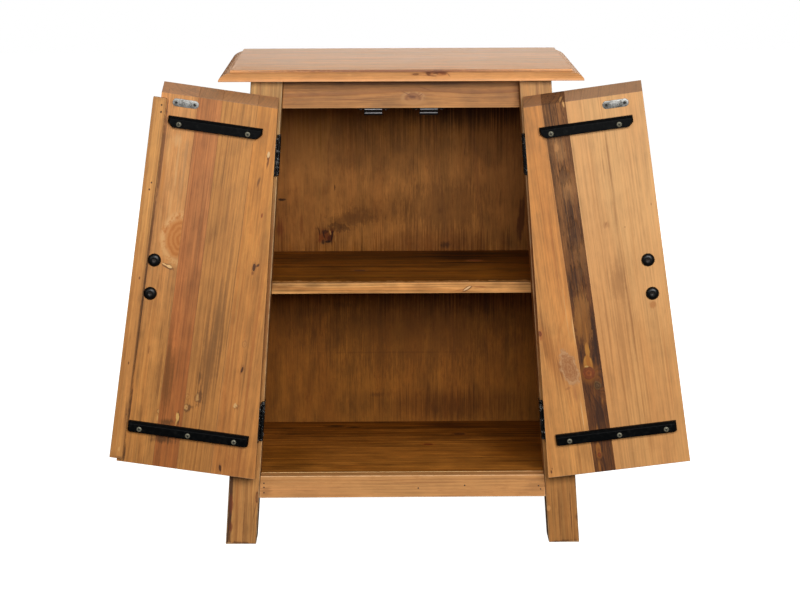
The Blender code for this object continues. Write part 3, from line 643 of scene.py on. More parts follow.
# back panel: brown, grain upright
back_axes = board_axes((0, YF, 0), (1, 0, 0), (0, 1, 0), (0, 0, 1))
m = wood("ply_back", back_axes, 41, (176, 118, 66), (136, 84, 42), ring=9.0, pith=(-30.0, 460.0), tilt=(0.0, 0.05), contrast=0.3,
         streak=0.2, broad=0.16, tone=0.42, fibre=0.40, tint=(136, 84, 44), tint_amt=0.55, wander=26.0, dent=0.35, spec=0.12,
         pores=0.18, flecks=0.3, clouds=0.34,
         marks=[(-113.0, 397.0, 22.0, 17.0, (120, 66, 24), 0.75, 0, 0.8, 0.9), (-121.0, 391.0, 5.0, 9.0, (134, 66, 24), 0.7, 0, 0.5, 0.6), (-107.6, 391.7, 4.6, 11.0, (30, 15, 7), 0.92, 0, 0.5, 0.7),
                (-114.0, 402.0, 7.0, 4.4, (44, 23, 11), 0.8, 20, 0.5, 1.0), (-118.0, 386.0, 4.0, 5.0, (40, 20, 10), 0.75, 0, 0.5, 0.8), (-99.5, 393.7, 1.6, 10.0, (196, 146, 92), 0.65, 4, 0.4),
                (-74.0, 424.0, 44.0, 20.0, (76, 34, 8), 0.22, 8, 0.9, 1.6), (-66.0, 424.0, 40.0, 14.0, (60, 26, 6), 0.22, 10, 0.3, 3.4, 1), (-78.0, 420.0, 40.0, 12.0, (56, 24, 6), 0.16, 10, 0.3, 3.6), (-92.0, 408.0, 18.0, 9.0, (48, 20, 5), 0.4, 0, 0.3, 3.2),
                (-40.0, 436.0, 60.0, 20.0, (84, 42, 14), 0.16, 0, 0.3, 3.4, 1), (-110.0, 395.0, 15.0, 13.0, (112, 48, 12), 0.55, 0, 0.7, 1.2), (-103.6, 396.0, 1.5, 9.0, (34, 15, 5), 0.9, -8, 0.4, 0.6), (-116.4, 397.0, 1.3, 7.0, (42, 20, 7), 0.85, 12, 0.4, 0.6),
                (-110.4, 386.6, 6.0, 2.6, (34, 15, 5), 0.85, 0, 0.5, 1.2), (-106.6, 400.6, 1.1, 4.6, (218, 166, 108), 0.55, 10, 0.4), (-124.0, 404.0, 1.2, 9.0, (66, 32, 12), 0.7, 16, 0.5, 0.8),
                (-99.0, 470.2, 1.5, 6.5, (84, 48, 24), 0.8, 0, 0.5), (-150.9, 413.8, 4.0, 24.0, (118, 60, 28), 0.5), (-184.1, 407.8, 7.0, 22.0, (120, 56, 26), 0.7), (-190.0, 440.0, 5.0, 12.0, (96, 46, 22), 0.5),
                (62.6, 434.0, 6.0, 8.0, (112, 66, 34), 0.4), (98.9, 524.6, 1.4, 9.0, (100, 60, 32), 0.6), (70.7, 381.0, 11.0, 9.0, (52, 29, 13), 0.65, 0, 0.8, 0.9),
                (26.1, 471.3, 1.6, 6.0, (100, 60, 30), 0.6), (0.2, 211.4, 180.0, 2.0, (124, 76, 38), 0.35), (-36.1, 143.9, 16.0, 5.0, (92, 54, 28), 0.45),
                (-85.4, 286.9, 22.0, 6.0, (110, 68, 36), 0.35), (-179.8, 452.3, 6.0, 2.6, (46, 24, 12), 0.9, 0, 0.4, 1.0), (186.0, 420.0, 7.0, 42.0, (86, 42, 22), 0.75, -4, 0.5),
                # the pale wash at a -145, g 540 is painted light on the upper left of the back
                (70.0, 440.0, 80.0, 40.0, (92, 55, 26), 0.4, 0, 0.4, 3.0, 1), (-20.0, 520.0, 150.0, 40.0, (100, 62, 30), 0.25, 0, 0.4, 3.4, 1), (-145.0, 540.0, 70.0, 110.0, (196, 134, 76), 0.42, 0, 0.9),
                (20.0, 250.0, 180.0, 80.0, (88, 52, 24), 0.35, 0, 0.4, 3.2, 1)],
         # painted shade inside the case: under the top rail, under the shelf, in the upper right corner, along the
         # shelf's rear edge, low down near the floor and at the top right of the lower part
         painted_shade_and_tone=[(0.0, 640.0, 400.0, 130.0, (0.70, 0.66, 0.36), 1.0), (0.0, 330.0, 500.0, 70.0, (0.62, 0.50, 0.08), 1.0),
            (110.0, 600.0, 150.0, 52.0, (0.36, 0.33, 0.33), 1.0, 0, 0.8),
            (60.0, 384.0, 130.0, 32.0, (0.68, 0.62, 0.55), 1.0, 0, 0.8),
            (80.0, 126.0, 120.0, 38.0, (0.52, 0.46, 0.34), 1.0, 0, 0.8),
            (130.0, 292.0, 110.0, 28.0, (0.66, 0.58, 0.46), 1.0, 0, 0.8)],
         rough=0.6, inner="near", gain=gain("back"))
dress("back_panel", m, 0.4)

# floor and shelf: boards along X
flat_axes = board_axes((0, YF, 0), (0, 1, 0), (0, 0, 1), (1, 0, 0))
m = wood("pine_floor", flat_axes, 51, (186, 126, 68), (144, 88, 40), ring=4.6, pith=(90.0, 60.0), tilt=(0.02, 0.03), contrast=0.5,
         streak=0.45, broad=0.6, tone=0.5, tint=(150, 96, 46), tint_amt=0.5, planks=(88.0, 0.0),
         knots=[(218.6, 89.8, 7.0, 8.0, "dark"), (163.2, 40.5, 4.0, 7.0, "red")],
         marks=[(265.9, -100.5, 8.0, 22.0, (50, 26, 10), 0.8, 0, 0.6, 1.0), (258.9, -72.0, 7.0, 14.0, (60, 34, 14), 0.75, 0, 0.6, 1.0), (222.0, -165.0, 5.0, 44.0, (76, 44, 20), 0.7, 0, 0.6, 1.0),
                (219.0, 88.0, 9.0, 16.0, (40, 20, 8), 0.85, 0, 0.6, 0.9), (163.0, 41.0, 4.5, 9.0, (74, 32, 12), 0.8, 0, 0.5, 0.8), (118.0, -60.0, 4.0, 36.0, (96, 60, 28), 0.55, 0, 0.7, 1.0),
                (62.4, -161.0, 3.0, 44.0, (92, 56, 28), 0.5), (274.0, 64.7, 1.5, 1.5, (210, 180, 140), 0.7, 0, 0.3)],
         box=((21.3, 0.0), (330.0, 0.0), 60.0, 100.6, -300.0, 300.0), wear=0.9, wear_tint=(255, 226, 216), rough=0.5, spec=0.12,
         # painted shade: the floor darker towards the rear, painted shadows at its right and left ends, and two smaller
         # darker patches at the rear
         painted_shade_and_tone=[(300.0, 0.0, 200.0, 900.0, (0.34, 0.268, 0.08), 1.0, 0, 0.9), (272.0, 72.0, 34.0, 66.0, (0.42, 0.36, 0.28), 1.0, 0, 0.8), (240.0, -150.0, 16.0, 60.0, (0.55, 0.5, 0.42), 0.7, 0, 0.8),
            (150.0, 172.0, 140.0, 86.0, (0.58, 0.50, 0.32), 1.0, 0, 0.8),
            (112.0, -172.0, 110.0, 84.0, (0.66, 0.62, 0.42), 1.0, 0, 0.8)], gain=gain("floor"), vary=0.75)
dress("floor_panel", m, 0.5)
m = wood("pine_shelf", flat_axes, 52, (204, 142, 78), (156, 98, 46), ring=4.6, pith=(160.0, 330.0), tilt=(0.02, 0.03), contrast=0.6,
         streak=0.8, broad=0.6, tone=0.5, tint=(166, 108, 56), tint_amt=0.5, planks=(78.3, 0.6),
         knots=[(142.2, -60.2, 5.0, 8.0, "dark"), (212.7, 111.0, 5.0, 8.0, "red")],
         marks=[(64.0, -70.0, 1.6, 120.0, (112, 72, 32), 0.55), (72.0, 90.0, 1.8, 110.0, (104, 66, 28), 0.6), (82.0, -120.0, 2.2, 90.0, (92, 58, 24), 0.7), (90.0, 40.0, 2.6, 150.0, (96, 60, 26), 0.65), (104.0, -40.0, 3.0, 170.0, (226, 176, 106), 0.45),
                (118.0, 90.0, 3.6, 120.0, (90, 56, 24), 0.7), (132.0, -90.0, 4.0, 120.0, (88, 56, 24), 0.7), (150.0, 60.0, 4.6, 160.0, (224, 172, 104), 0.4), (170.0, -20.0, 5.0, 190.0, (84, 52, 22), 0.75), (196.0, 110.0, 6.0, 90.0, (82, 50, 20), 0.75),
                (222.0, -60.0, 7.0, 150.0, (214, 160, 94), 0.35), (244.0, 40.0, 6.0, 180.0, (76, 46, 18), 0.75), (270.0, 100.0, 14.0, 110.0, (70, 42, 16), 0.7)],
         # painted shade: the shelf darker towards the rear, most at its rear right
         painted_shade_and_tone=[(206.0, 0.0, 146.0, 900.0, (0.43, 0.305, 0.085), 1.0, 0, 0.04), (270.0, 20.0, 120.0, 600.0, (0.35, 0.31, 0.18), 0.95),
            (252.0, 92.0, 76.0, 70.0, (0.52, 0.43, 0.33), 1.0, 0, 0.8)], spec=0.12,
         fronts=[(94.0, 363.0, 9.0, 3.4, (96, 52, 26), 0.85, 30, 0.5, 52.3), (94.0, 363.4, 7.0, 1.5, (222, 174, 118), 0.9, 32, 0.4, 52.3), (112.0, 365.4, 12.0, 1.4, (150, 84, 42), 0.55, -4, 0.6, 52.3), (82.0, 360.6, 10.0, 1.6, (150, 84, 42), 0.5, 10, 0.6, 52.3)],
         box=((52.3, 0.0), (293.1, 0.0), 356.4, 372.0, -210.0, 210.0), wear=0.12, rough=0.5, gain=gain("shelf"))
dress("shelf", m, 1.0)

# door boards
AX = {s: door_axes(s) for s in (-1, 1)}
SLOPE = (DOOR_ZI - DOOR_ZO) / DOOR_T


def line_box(lo, hi):
    """Box for a board between two leaning lines, each given as x at its foot and at its head."""
    out = []
    for x0, x1 in (lo, hi):
        k_ = (x1 - x0) / (DOOR_ZO - DOOR_Z0)
        out.append((x0 - k_ * DOOR_Z0, k_))
    return out[0], out[1], 0.0, 22.0, DOOR_Z0, 660.0


HX = (half_in(DOOR_Z0) - 3.0, half_in(DOOR_ZO) - 3.0)
DOOR_ENDS = [("g", DOOR_Z0, 0.0), ("g", DOOR_ZO, SLOPE)]

m = wood("door_l1", AX[-1], 61, (212, 152, 94), (178, 114, 60), ring=4.4, pith=(-60.0, -46.0), tilt=(0.0, 0.03), contrast=0.42, streak=0.3,
         tint=(192, 132, 78), tint_amt=0.5, wander=8.0, ends=DOOR_ENDS, end_tint=(177, 150, 129), end_amt=0.84, box=line_box((-53.7, -53.7), (-3.2, -3.2)), wear=0.08, inner=True, gain=gain("l1"), vary=1.5, pores=0.16, flecks=0.14,
         knots=[(-53.4, 434.0, 28.0, 38.5, "oval"), (-53.0, 185.9, 2.0, 2.8, "pale")],
         marks=[(-51.0, 428.0, 6.0, 18.0, (188, 116, 60), 0.55, 0, 0.5), (-41.0, 393.0, 10.4, 4.0, (100, 58, 28), 0.9, 19, 0.4), (-42.6, 393.4, 5.2, 2.2, (250, 210, 160), 0.98, 16, 0.28, 0.5), (-36.6, 395.2, 5.0, 1.3, (246, 202, 150), 0.95, 21, 0.3),
                (-52.8, 175.6, 1.1, 7.0, (236, 190, 138), 0.8, 0, 0.4), (-29.2, 271.8, 0.9, 7.0, (120, 72, 38), 0.7, 0, 0.5), (-48.0, 240.0, 6.0, 56.0, (140, 90, 48), 0.55),
                (-45.5, 545.0, 4.0, 50.0, (178, 134, 92), 0.6), (-44.0, 500.0, 3.0, 40.0, (180, 136, 92), 0.5), (-63.0, 145.0, 22.0, 7.0, (108, 68, 28), 0.9), (-66.0, 171.1, 18.0, 7.0, (120, 76, 34), 0.8),
                # the dark marks near a -13 to -13.6 beside the cover strip, here and on the next two lines, are painted
                # shadow of the strip; the thin line at a -12.6 is the dark gap at its edge, partly painted shade
                (-13.4, 612.0, 1.4, 18.0, (108, 66, 36), 0.8, 0, 0.6), (-12.6, 380.0, 0.9, 300.0, (72, 43, 23), 0.92, 0, 0.5), (-13.4, 190.0, 2.2, 46.0, (74, 44, 24), 0.85, 0, 0.6),
                (-13.0, 118.0, 2.0, 22.0, (66, 40, 22), 0.8, 0, 0.6), (-24.0, 340.0, 3.4, 50.0, (176, 118, 66), 0.5), (-17.0, 480.0, 2.6, 90.0, (186, 126, 72), 0.5),
                (-13.6, 545.0, 2.6, 100.0, (116, 72, 38), 0.8, 0, 0.6), (-13.2, 440.0, 2.0, 90.0, (112, 70, 38), 0.75, 0, 0.6), (-32.0, 570.0, 9.0, 12.0, (230, 180, 126), 0.55, 0, 0.8), (-22.0, 552.0, 5.0, 30.0, (222, 168, 108), 0.4),
                (-36.0, 535.0, 2.2, 40.0, (228, 178, 124), 0.5), (-29.0, 528.0, 1.4, 40.0, (172, 114, 62), 0.55), (-19.0, 512.0, 3.0, 46.0, (208, 138, 68), 0.5), (-25.0, 470.0, 1.4, 40.0, (174, 114, 60), 0.5), (-34.0, 480.0, 2.2, 34.0, (226, 174, 116), 0.45)])
dress("left_door_board_1", m, 0.15, 1)
m = wood("door_l2", AX[-1], 62, (192, 124, 78), (154, 88, 50), ring=3.4, pith=(40.0, -10.0), contrast=0.45, streak=0.36, broad=0.26, tint=(176, 106, 64), tint_amt=0.55,
         wander=5.0, ends=DOOR_ENDS, end_tint=(177, 150, 129), end_amt=0.84, box=line_box((-88.0, -86.6), (-54.0, -54.0)), wear=0.03, inner=True, gain=gain("l2"), vary=1.25, pores=0.18, flecks=0.12, knots=[],
         # the pale flecks inside the dark outline near g 180 are partly pale knot fill and partly painted highlight
         marks=[(-81.4, 179.6, 3.6, 12.5, (100, 60, 28), 0.8, -6, 0.5), (-80.4, 181.6, 2.6, 8.0, (244, 202, 152), 0.95, -6, 0.35, 0.8), (-79.6, 172.0, 1.5, 6.0, (240, 196, 144), 0.9, 8, 0.35), (-60.0, 236.0, 12.0, 66.0, (128, 82, 36), 0.75), (-64.0, 146.0, 24.0, 8.0, (100, 64, 26), 0.9),
                (-68.0, 171.1, 18.0, 7.0, (112, 72, 30), 0.85), (-77.5, 168.2, 7.0, 7.0, (196, 122, 66), 0.5), (-66.5, 569.1, 10.0, 12.0, (156, 94, 58), 0.4),
                (-73.3, 329.2, 2.0, 60.0, (150, 86, 50), 0.5), (-56.2, 479.0, 1.6, 110.0, (206, 142, 94), 0.4), (-64.0, 330.0, 1.6, 80.0, (146, 84, 48), 0.5), (-81.0, 450.0, 1.4, 110.0, (146, 84, 48), 0.45)])
dress("left_door_board_2", m, 0.15, 1)
m = wood("door_l3", AX[-1], 63, (200, 142, 82), (156, 100, 52), ring=3.8, pith=(-10.0, -24.0), contrast=0.45, streak=0.32, broad=0.28, tint=(164, 114, 66), tint_amt=0.6,
         band=(150, 104, 60), band_amt=0.35, wander=7.0, ends=DOOR_ENDS, end_tint=(177, 150, 129), end_amt=0.84, box=line_box((-136.0, -134.4), (-88.3, -86.9)), wear=0.03, inner=True, gain=gain("l3"), vary=1.2, pores=0.16, flecks=0.16,
         knots=[(-91.0, 212.6, 4.2, 5.0, "ghost")],
         # the pale fills inside the dark knot outlines near g 197 and 212 are partly knot and partly painted highlight
         marks=[(-92.2, 196.1, 8.5, 8.0, (84, 48, 24), 0.72, 0, 0.5, 1.3), (-90.7, 197.0, 4.2, 4.8, (236, 188, 132), 0.66, 0, 0.5, 1.5), (-91.4, 196.7, 1.4, 1.5, (176, 112, 60), 0.7, 0, 0.5), (-106.6, 211.9, 6.2, 12.1, (84, 48, 24), 0.72, 0, 0.5, 1.3), (-105.1, 212.8, 3.0, 7.1, (236, 188, 132), 0.66, 0, 0.5, 1.5), (-105.8, 212.5, 1.0, 2.2, (176, 112, 60), 0.7, 0, 0.5), (-90.5, 213.5, 3.4, 4.4, (112, 70, 38), 0.6, 0, 0.5, 1.4), (-89.8, 213.8, 2.0, 3.0, (226, 178, 124), 0.7, 0, 0.4, 1.4),
                (-104.6, 242.4, 5.0, 13.0, (96, 62, 36), 0.75, 0, 0.9), (-107.1, 224.4, 1.4, 16.0, (90, 56, 30), 0.75), (-114.0, 270.0, 17.0, 80.0, (128, 88, 50), 0.65),
                (-120.0, 330.0, 10.0, 60.0, (132, 94, 56), 0.5), (-100.8, 539.4, 2.0, 34.0, (140, 98, 58), 0.5), (-113.2, 487.5, 2.4, 44.0, (146, 100, 60), 0.5), (-94.5, 442.3, 2.0, 22.0, (136, 88, 50), 0.6),
                (-125.8, 399.6, 3.0, 120.0, (140, 96, 56), 0.5), (-106.0, 310.0, 3.0, 70.0, (134, 92, 52), 0.6), (-128.0, 280.0, 3.0, 60.0, (124, 84, 46), 0.6)])
dress("left_door_board_3", m, 0.15, 1)
m = wood("door_l4", AX[-1], 64, (210, 146, 80), (172, 102, 46), ring=4.6, pith=(-90.0, -22.0), tilt=(0.03, 0.0), contrast=0.48, streak=0.3, tint=(192, 124, 62), tint_amt=0.5,
         wander=7.0, ends=DOOR_ENDS, end_tint=(177, 150, 129), end_amt=0.84, box=line_box((-HX[0], -HX[1]), (-136.3, -134.7)), wear=0.18, inner=True, gain=gain("l4"), vary=1.25, pores=0.14, flecks=0.14,
         knots=[(-158.9, 408.8, 2.2, 5.0, "dark"), (-161.4, 261.4, 1.3, 4.4, "dark", 12), (-160.0, 299.0, 3.4, 5.4, "ghost"),
                (-149.1, 115.6, 1.6, 4.8, "dark", -12)],
         # the pale fills inside the dark outlines near g 208 and 567 are partly knot and partly painted highlight
         marks=[(-160.4, 207.4, 5.2, 6.0, (140, 88, 44), 0.6, 0, 0.5, 1.3), (-159.0, 208.6, 3.4, 4.4, (240, 196, 140), 0.85, 0, 0.4, 1.5), (-160.0, 207.0, 1.2, 2.0, (150, 92, 48), 0.7, 0, 0.5), (-163.2, 411.8, 2.4, 4.0, (70, 36, 18), 0.85, 30, 0.5), (-158.0, 400.0, 2.2, 4.0, (120, 62, 32), 0.7), (-160.3, 482.5, 1.6, 5.0, (140, 62, 30), 0.85, 0, 0.5),
                (-149.6, 528.1, 2.2, 9.0, (112, 70, 40), 0.75, 10), (-158.9, 556.1, 2.0, 9.0, (104, 58, 30), 0.8, 4), (-158.3, 566.0, 3.2, 7.2, (112, 64, 34), 0.8, 0, 0.5, 0.9), (-158.1, 567.9, 2.2, 5.2, (240, 202, 164), 0.92, 0, 0.4, 0.9),
                (-172.6, 299.9, 3.0, 160.0, (176, 104, 50), 0.5), (-169.9, 119.9, 22.0, 40.0, (178, 108, 54), 0.45), (-146.0, 300.0, 1.6, 150.0, (180, 112, 56), 0.5)])
dress("left_door_board_4", m, 0.3, 1)
m = wood("door_strip", AX[-1], 65, (210, 152, 92), (172, 112, 60), ring=3.6, pith=(60.0, -20.0), contrast=0.42, streak=0.3, tint=(182, 124, 72), tint_amt=0.5,
         ends=[("g", 111.2, 0.0), ("g", 625.1, 0.0)], box=((-11.7, 0.0), (6.8, 0.0), 22.3, 28.7, 111.2, 625.1), wear=0.25, grime=0.3, gain=gain("strip"),
         marks=[(-5.8, 615.2, 1.3, 1.6, (52, 30, 16), 0.95, 0, 0.3), (-6.1, 605.6, 1.4, 1.8, (52, 30, 16), 0.95, 0, 0.3), (-4.9, 507.5, 1.2, 1.6, (56, 32, 18), 0.9, 0, 0.3),
                (-3.3, 497.7, 1.4, 1.8, (66, 38, 20), 0.9, 0, 0.3), (-4.5, 372.8, 1.6, 3.2, (112, 62, 32), 0.8, 0, 0.4), (-4.0, 250.6, 1.4, 2.8, (96, 56, 30), 0.8, 0, 0.4),
                # the dark line at a -11.3 along the strip's edge is partly a dark gap line and partly painted shade
                (-11.3, 368.7, 0.9, 320.0, (78, 47, 25), 0.85, 0, 0.6), (-5.4, 125.1, 2.0, 4.4, (224, 176, 120), 0.7, 0, 0.4), (-9.5, 176.7, 2.0, 3.0, (76, 48, 28), 0.7),
                (-1.7, 418.6, 3.0, 16.0, (176, 122, 70), 0.5), (-9.0, 180.0, 2.4, 30.0, (110, 70, 40), 0.6), (-7.0, 113.0, 6.0, 3.0, (112, 72, 42), 0.6)])
dress("left_door_cover_strip", m, 0.9)

m = wood("door_r1", AX[1], 66, (222, 170, 112), (192, 136, 82), ring=3.6, pith=(300.0, -30.0), tilt=(0.01, 0.0), contrast=0.36, streak=0.28, tint=(208, 150, 94), tint_amt=0.5,
         band=(196, 142, 88), band_amt=0.25, tone=0.09, wander=9.0, ends=DOOR_ENDS, end_tint=(156, 132, 113), end_amt=0.84, box=line_box((0.7, 0.7), (104.2, 104.6)), wear=0.08, inner=True, gain=gain("r1"), vary=0.88, pores=0.12, flecks=0.08, clouds=0.06,
         marks=[(56.4, 548.0, 1.5, 44.0, (160, 110, 62), 0.6, 0, 0.9), (57.2, 470.0, 1.2, 26.0, (164, 114, 66), 0.5, 0, 0.9), (65.3, 538.9, 1.4, 30.0, (162, 112, 66), 0.6, 0, 0.9), (28.2, 530.0, 1.0, 60.0, (178, 126, 78), 0.5, 0, 0.9),
                (72.1, 455.7, 6.0, 6.0, (170, 116, 70), 0.45, 30), (71.5, 457.8, 1.4, 4.0, (146, 96, 54), 0.6, 20), (46.6, 449.4, 1.8, 1.6, (150, 98, 56), 0.7), (7.5, 476.3, 1.0, 3.0, (140, 92, 54), 0.7),
                (68.0, 373.0, 16.0, 36.0, (160, 112, 66), 0.6), (54.9, 316.0, 2.2, 90.0, (154, 104, 58), 0.52, 0, 0.9), (54.5, 200.0, 1.8, 70.0, (158, 108, 60), 0.49, 0, 0.9), (87.6, 306.6, 2.0, 90.0, (164, 114, 66), 0.45, 0, 0.9),
                (70.0, 300.0, 10.0, 110.0, (186, 134, 82), 0.5), (22.6, 335.9, 5.4, 6.6, (182, 116, 58), 0.65, 0, 0.5), (60.9, 130.5, 55.0, 1.6, (214, 160, 106), 0.4),
                (62.0, 240.0, 1.4, 90.0, (162, 112, 62), 0.41, 0, 0.9), (78.0, 230.0, 1.6, 70.0, (166, 116, 66), 0.41, 0, 0.9), (97.0, 260.0, 2.4, 120.0, (178, 126, 74), 0.5), (46.0, 250.0, 1.2, 110.0, (180, 128, 76), 0.45),
                (50.8, 150.5, 6.0, 40.0, (184, 128, 76), 0.4), (14.1, 250.3, 1.4, 100.0, (190, 130, 78), 0.45), (38.0, 470.0, 1.2, 130.0, (196, 142, 88), 0.45), (80.0, 520.0, 2.0, 90.0, (190, 136, 82), 0.45)])
dress("right_door_board_1", m, 0.15, 1)
m = wood("door_r2", AX[1], 67, (152, 100, 56), (78, 45, 24), ring=2.6, pith=(150.0, -10.0), tilt=(0.016, 0.0), contrast=0.7, streak=0.62, broad=0.44, fibre=0.4, tone=0.46, tint=(92, 55, 30), tint_amt=0.6,
         wander=5.0, ends=DOOR_ENDS, end_tint=(112, 76, 52), end_amt=0.4, box=line_box((104.5, 104.9), (133.4, 136.8)), wear=0.0, inner=True, gain=gain("r2", 330.0, 505.0),
         # the two late marks here are a painted highlight on the eye knot
         flakes=0.56, relief=0.6, rough=0.68, painted_highlights_and_late_marks=[(125.0, 260.0, 3.2, 1.5, (252, 222, 176), 0.85, 10, 0.4), (121.0, 247.5, 1.0, 3.0, (222, 152, 88), 0.5, 0, 0.5)],
         knots=[(123.2, 250.6, 8.4, 9.4, "eye"), (124.4, 130.6, 2.6, 3.6, "eye"), (113.6, 231.0, 5.4, 6.4, "grey")],
         marks=[(129.4, 318.0, 6.6, 28.0, (188, 134, 80), 0.82, 2, 0.6, 1.2), (125.0, 330.0, 2.0, 18.0, (196, 144, 90), 0.6, 0, 0.6), (108.6, 300.0, 6.0, 56.0, (58, 33, 18), 0.75, 0, 0.6), (131.6, 250.0, 2.2, 34.0, (66, 38, 20), 0.6),
                (115.0, 190.0, 10.0, 34.0, (60, 35, 20), 0.6, 0, 0.8), (114.6, 264.0, 2.0, 16.0, (60, 34, 18), 0.8, 0, 0.5), (122.5, 262.0, 7.2, 15.0, (246, 188, 112), 0.94, 0, 0.25), (121.2, 283.0, 3.6, 14.0, (240, 182, 108), 0.92, 0, 0.3),
                (119.0, 306.0, 1.5, 22.0, (202, 144, 86), 0.85, 0, 0.5), (122.0, 268.0, 3.6, 11.0, (214, 142, 70), 0.7, 0, 0.5), (109.8, 207.9, 2.0, 7.0, (198, 144, 88), 0.75), (119.0, 222.0, 1.4, 10.0, (176, 122, 72), 0.6), (122.4, 165.0, 1.5, 14.0, (206, 146, 84), 0.85),
                (124.6, 138.0, 4.4, 14.0, (204, 144, 82), 0.88, 0, 0.4), (126.0, 114.0, 2.4, 12.0, (206, 146, 84), 0.82), (124.4, 134.0, 2.8, 9.0, (164, 98, 48), 0.7, 0, 0.5), (130.8, 140.3, 2.2, 30.0, (176, 122, 74), 0.5),
                (125.3, 572.3, 4.0, 10.0, (196, 136, 84), 0.75, 0, 0.6, 1.6), (116.0, 519.3, 3.4, 11.0, (178, 122, 76), 0.7, 0, 0.6, 1.6), (126.0, 528.0, 3.0, 14.0, (170, 116, 70), 0.55, 0, 0.6, 1.6), (118.9, 389.9, 2.0, 14.0, (178, 122, 76), 0.6),
                (109.5, 637.9, 1.6, 8.0, (224, 168, 106), 0.95, 28, 0.35), (107.5, 629.0, 1.4, 5.0, (226, 172, 112), 0.9, -6, 0.35), (119.0, 460.0, 4.0, 60.0, (80, 47, 26), 0.6), (132.0, 372.0, 3.0, 30.0, (56, 33, 18), 0.6),
                (122.0, 568.0, 9.0, 16.0, (198, 146, 98), 0.3, 0, 0.12, 3.4, 1), (116.0, 514.0, 12.0, 20.0, (190, 138, 90), 0.28, 0, 0.12, 3.4, 1), (113.0, 416.0, 9.0, 30.0, (190, 136, 84), 0.3, 0, 0.12, 3.4, 1), (120.0, 330.0, 10.0, 44.0, (206, 150, 92), 0.5, 0, 0.12, 3.0, 1),
                (120.5, 529.0, 9.0, 14.0, (58, 33, 19), 0.42, 0, 0.2, 2.8, 1), (116.0, 447.0, 11.0, 22.0, (60, 34, 19), 0.4, 0, 0.2, 2.8, 1), (121.0, 384.0, 10.0, 22.0, (56, 32, 17), 0.42, 0, 0.2, 2.8, 1)])
dress("right_door_board_2", m, 0.15, 1)
m = wood("door_r3", AX[1], 68, (212, 148, 84), (178, 110, 54), ring=4.6, pith=(230.0, -30.0), tilt=(-0.05, 0.0), contrast=0.44, streak=0.26, tint=(200, 132, 70), tint_amt=0.5,
         wander=7.0, ends=DOOR_ENDS, end_tint=(156, 132, 113), end_amt=0.84, box=line_box((133.7, 137.1), HX), wear=0.16, inner=True, gain=gain("r3"), vary=1.3, pores=0.1, flecks=0.1, clouds=0.18,
         knots=[(149.4, 260.5, 11.5, 27.0, "swirl", -11), (183.0, 314.8, 2.6, 4.0, "red")],
         marks=[(183.0, 308.0, 3.4, 6.0, (170, 94, 50), 0.6), (136.4, 312.0, 1.0, 26.0, (238, 192, 136), 0.7), (140.0, 190.0, 1.0, 32.0, (236, 188, 132), 0.65), (144.0, 180.0, 1.0, 30.0, (160, 102, 50), 0.5),
                (143.4, 340.0, 1.2, 50.0, (224, 172, 116), 0.5), (162.0, 259.0, 2.0, 26.0, (150, 90, 44), 0.75, -9, 0.6), (155.0, 232.0, 6.0, 2.2, (160, 98, 54), 0.6, -20, 0.6), (146.0, 222.0, 2.6, 20.0, (178, 112, 66), 0.6), (194.6, 114.0, 1.4, 2.8, (84, 44, 24), 0.85, 0, 0.4), (193.0, 118.7, 1.0, 2.0, (96, 52, 28), 0.7),
                (148.6, 429.9, 2.0, 120.0, (186, 116, 60), 0.45), (156.3, 520.0, 1.2, 110.0, (188, 120, 62), 0.5), (150.0, 170.0, 1.2, 40.0, (170, 108, 54), 0.5)],
         painted_shade_and_tone=[(174.0, 290.0, 13.0, 70.0, (0.72, 0.62, 0.50), 0.9, -8, 0.8)])
dress("right_door_board_3", m, 0.3, 1)


# ------------------------------------------------------------------ mesh helpers
def new_piece(name, body, mats, verts, faces, slots=None, smooth=True, replaces=(), angle=35.0):
    me = bpy.data.meshes.new(name)
    me.from_pydata([(v[0] * 0.001, v[1] * 0.001, v[2] * 0.001) for v in verts], [], faces)
    for m_ in mats:
        me.materials.append(m_)
    if slots:
        for p, i in zip(me.polygons, slots):
            p.material_index = i
    bm = bmesh.new()
    bm.from_mesh(me)
    bmesh.ops.recalc_face_normals(bm, faces=bm.faces)
    lim = math.radians(angle)
    for e in bm.edges:
        e.smooth = not (len(e.link_faces) == 2 and e.calc_face_angle(0.0) > lim)
    for f_ in bm.faces:
        f_.smooth = smooth
    bm.to_mesh(me)
    bm.free()
    ob = bpy.data.objects.new(name, me)
    bpy.context.scene.collection.objects.link(ob)
    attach(ob, body)
    if replaces:
        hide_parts(*replaces)
    return ob


def polar_cap(profile, seg, recess=None, start=0):
    """Closed solid of revolution about +z from (r, z) rows, first row at the middle of the top.
    recess(x, y) lowers the rows before index start."""
    verts, faces = [(0.0, 0.0, profile[0][1] - (recess(0.0, 0.0) if recess else 0.0))], []
    rows = profile[1:]
    for i, (r_, z_) in enumerate(rows):
        for k_ in range(seg):
            t_ = 2 * math.pi * k_ / seg
            x_, y_ = r_ * math.cos(t_), r_ * math.sin(t_)
            verts.append((x_, y_, z_ - (recess(x_, y_) if recess and i < start else 0.0)))
    for k_ in range(seg):
        faces.append((0, 1 + k_, 1 + (k_ + 1) % seg))
    for i in range(len(rows) - 1):
        b0, b1 = 1 + i * seg, 1 + (i + 1) * seg
        for k_ in range(seg):
            j_ = (k_ + 1) % seg
            faces.append((b0 + k_, b1 + k_, b1 + j_, b0 + j_))
    last = 1 + (len(rows) - 1) * seg
    faces.append(tuple(last + k_ for k_ in range(seg)))
    return verts, faces


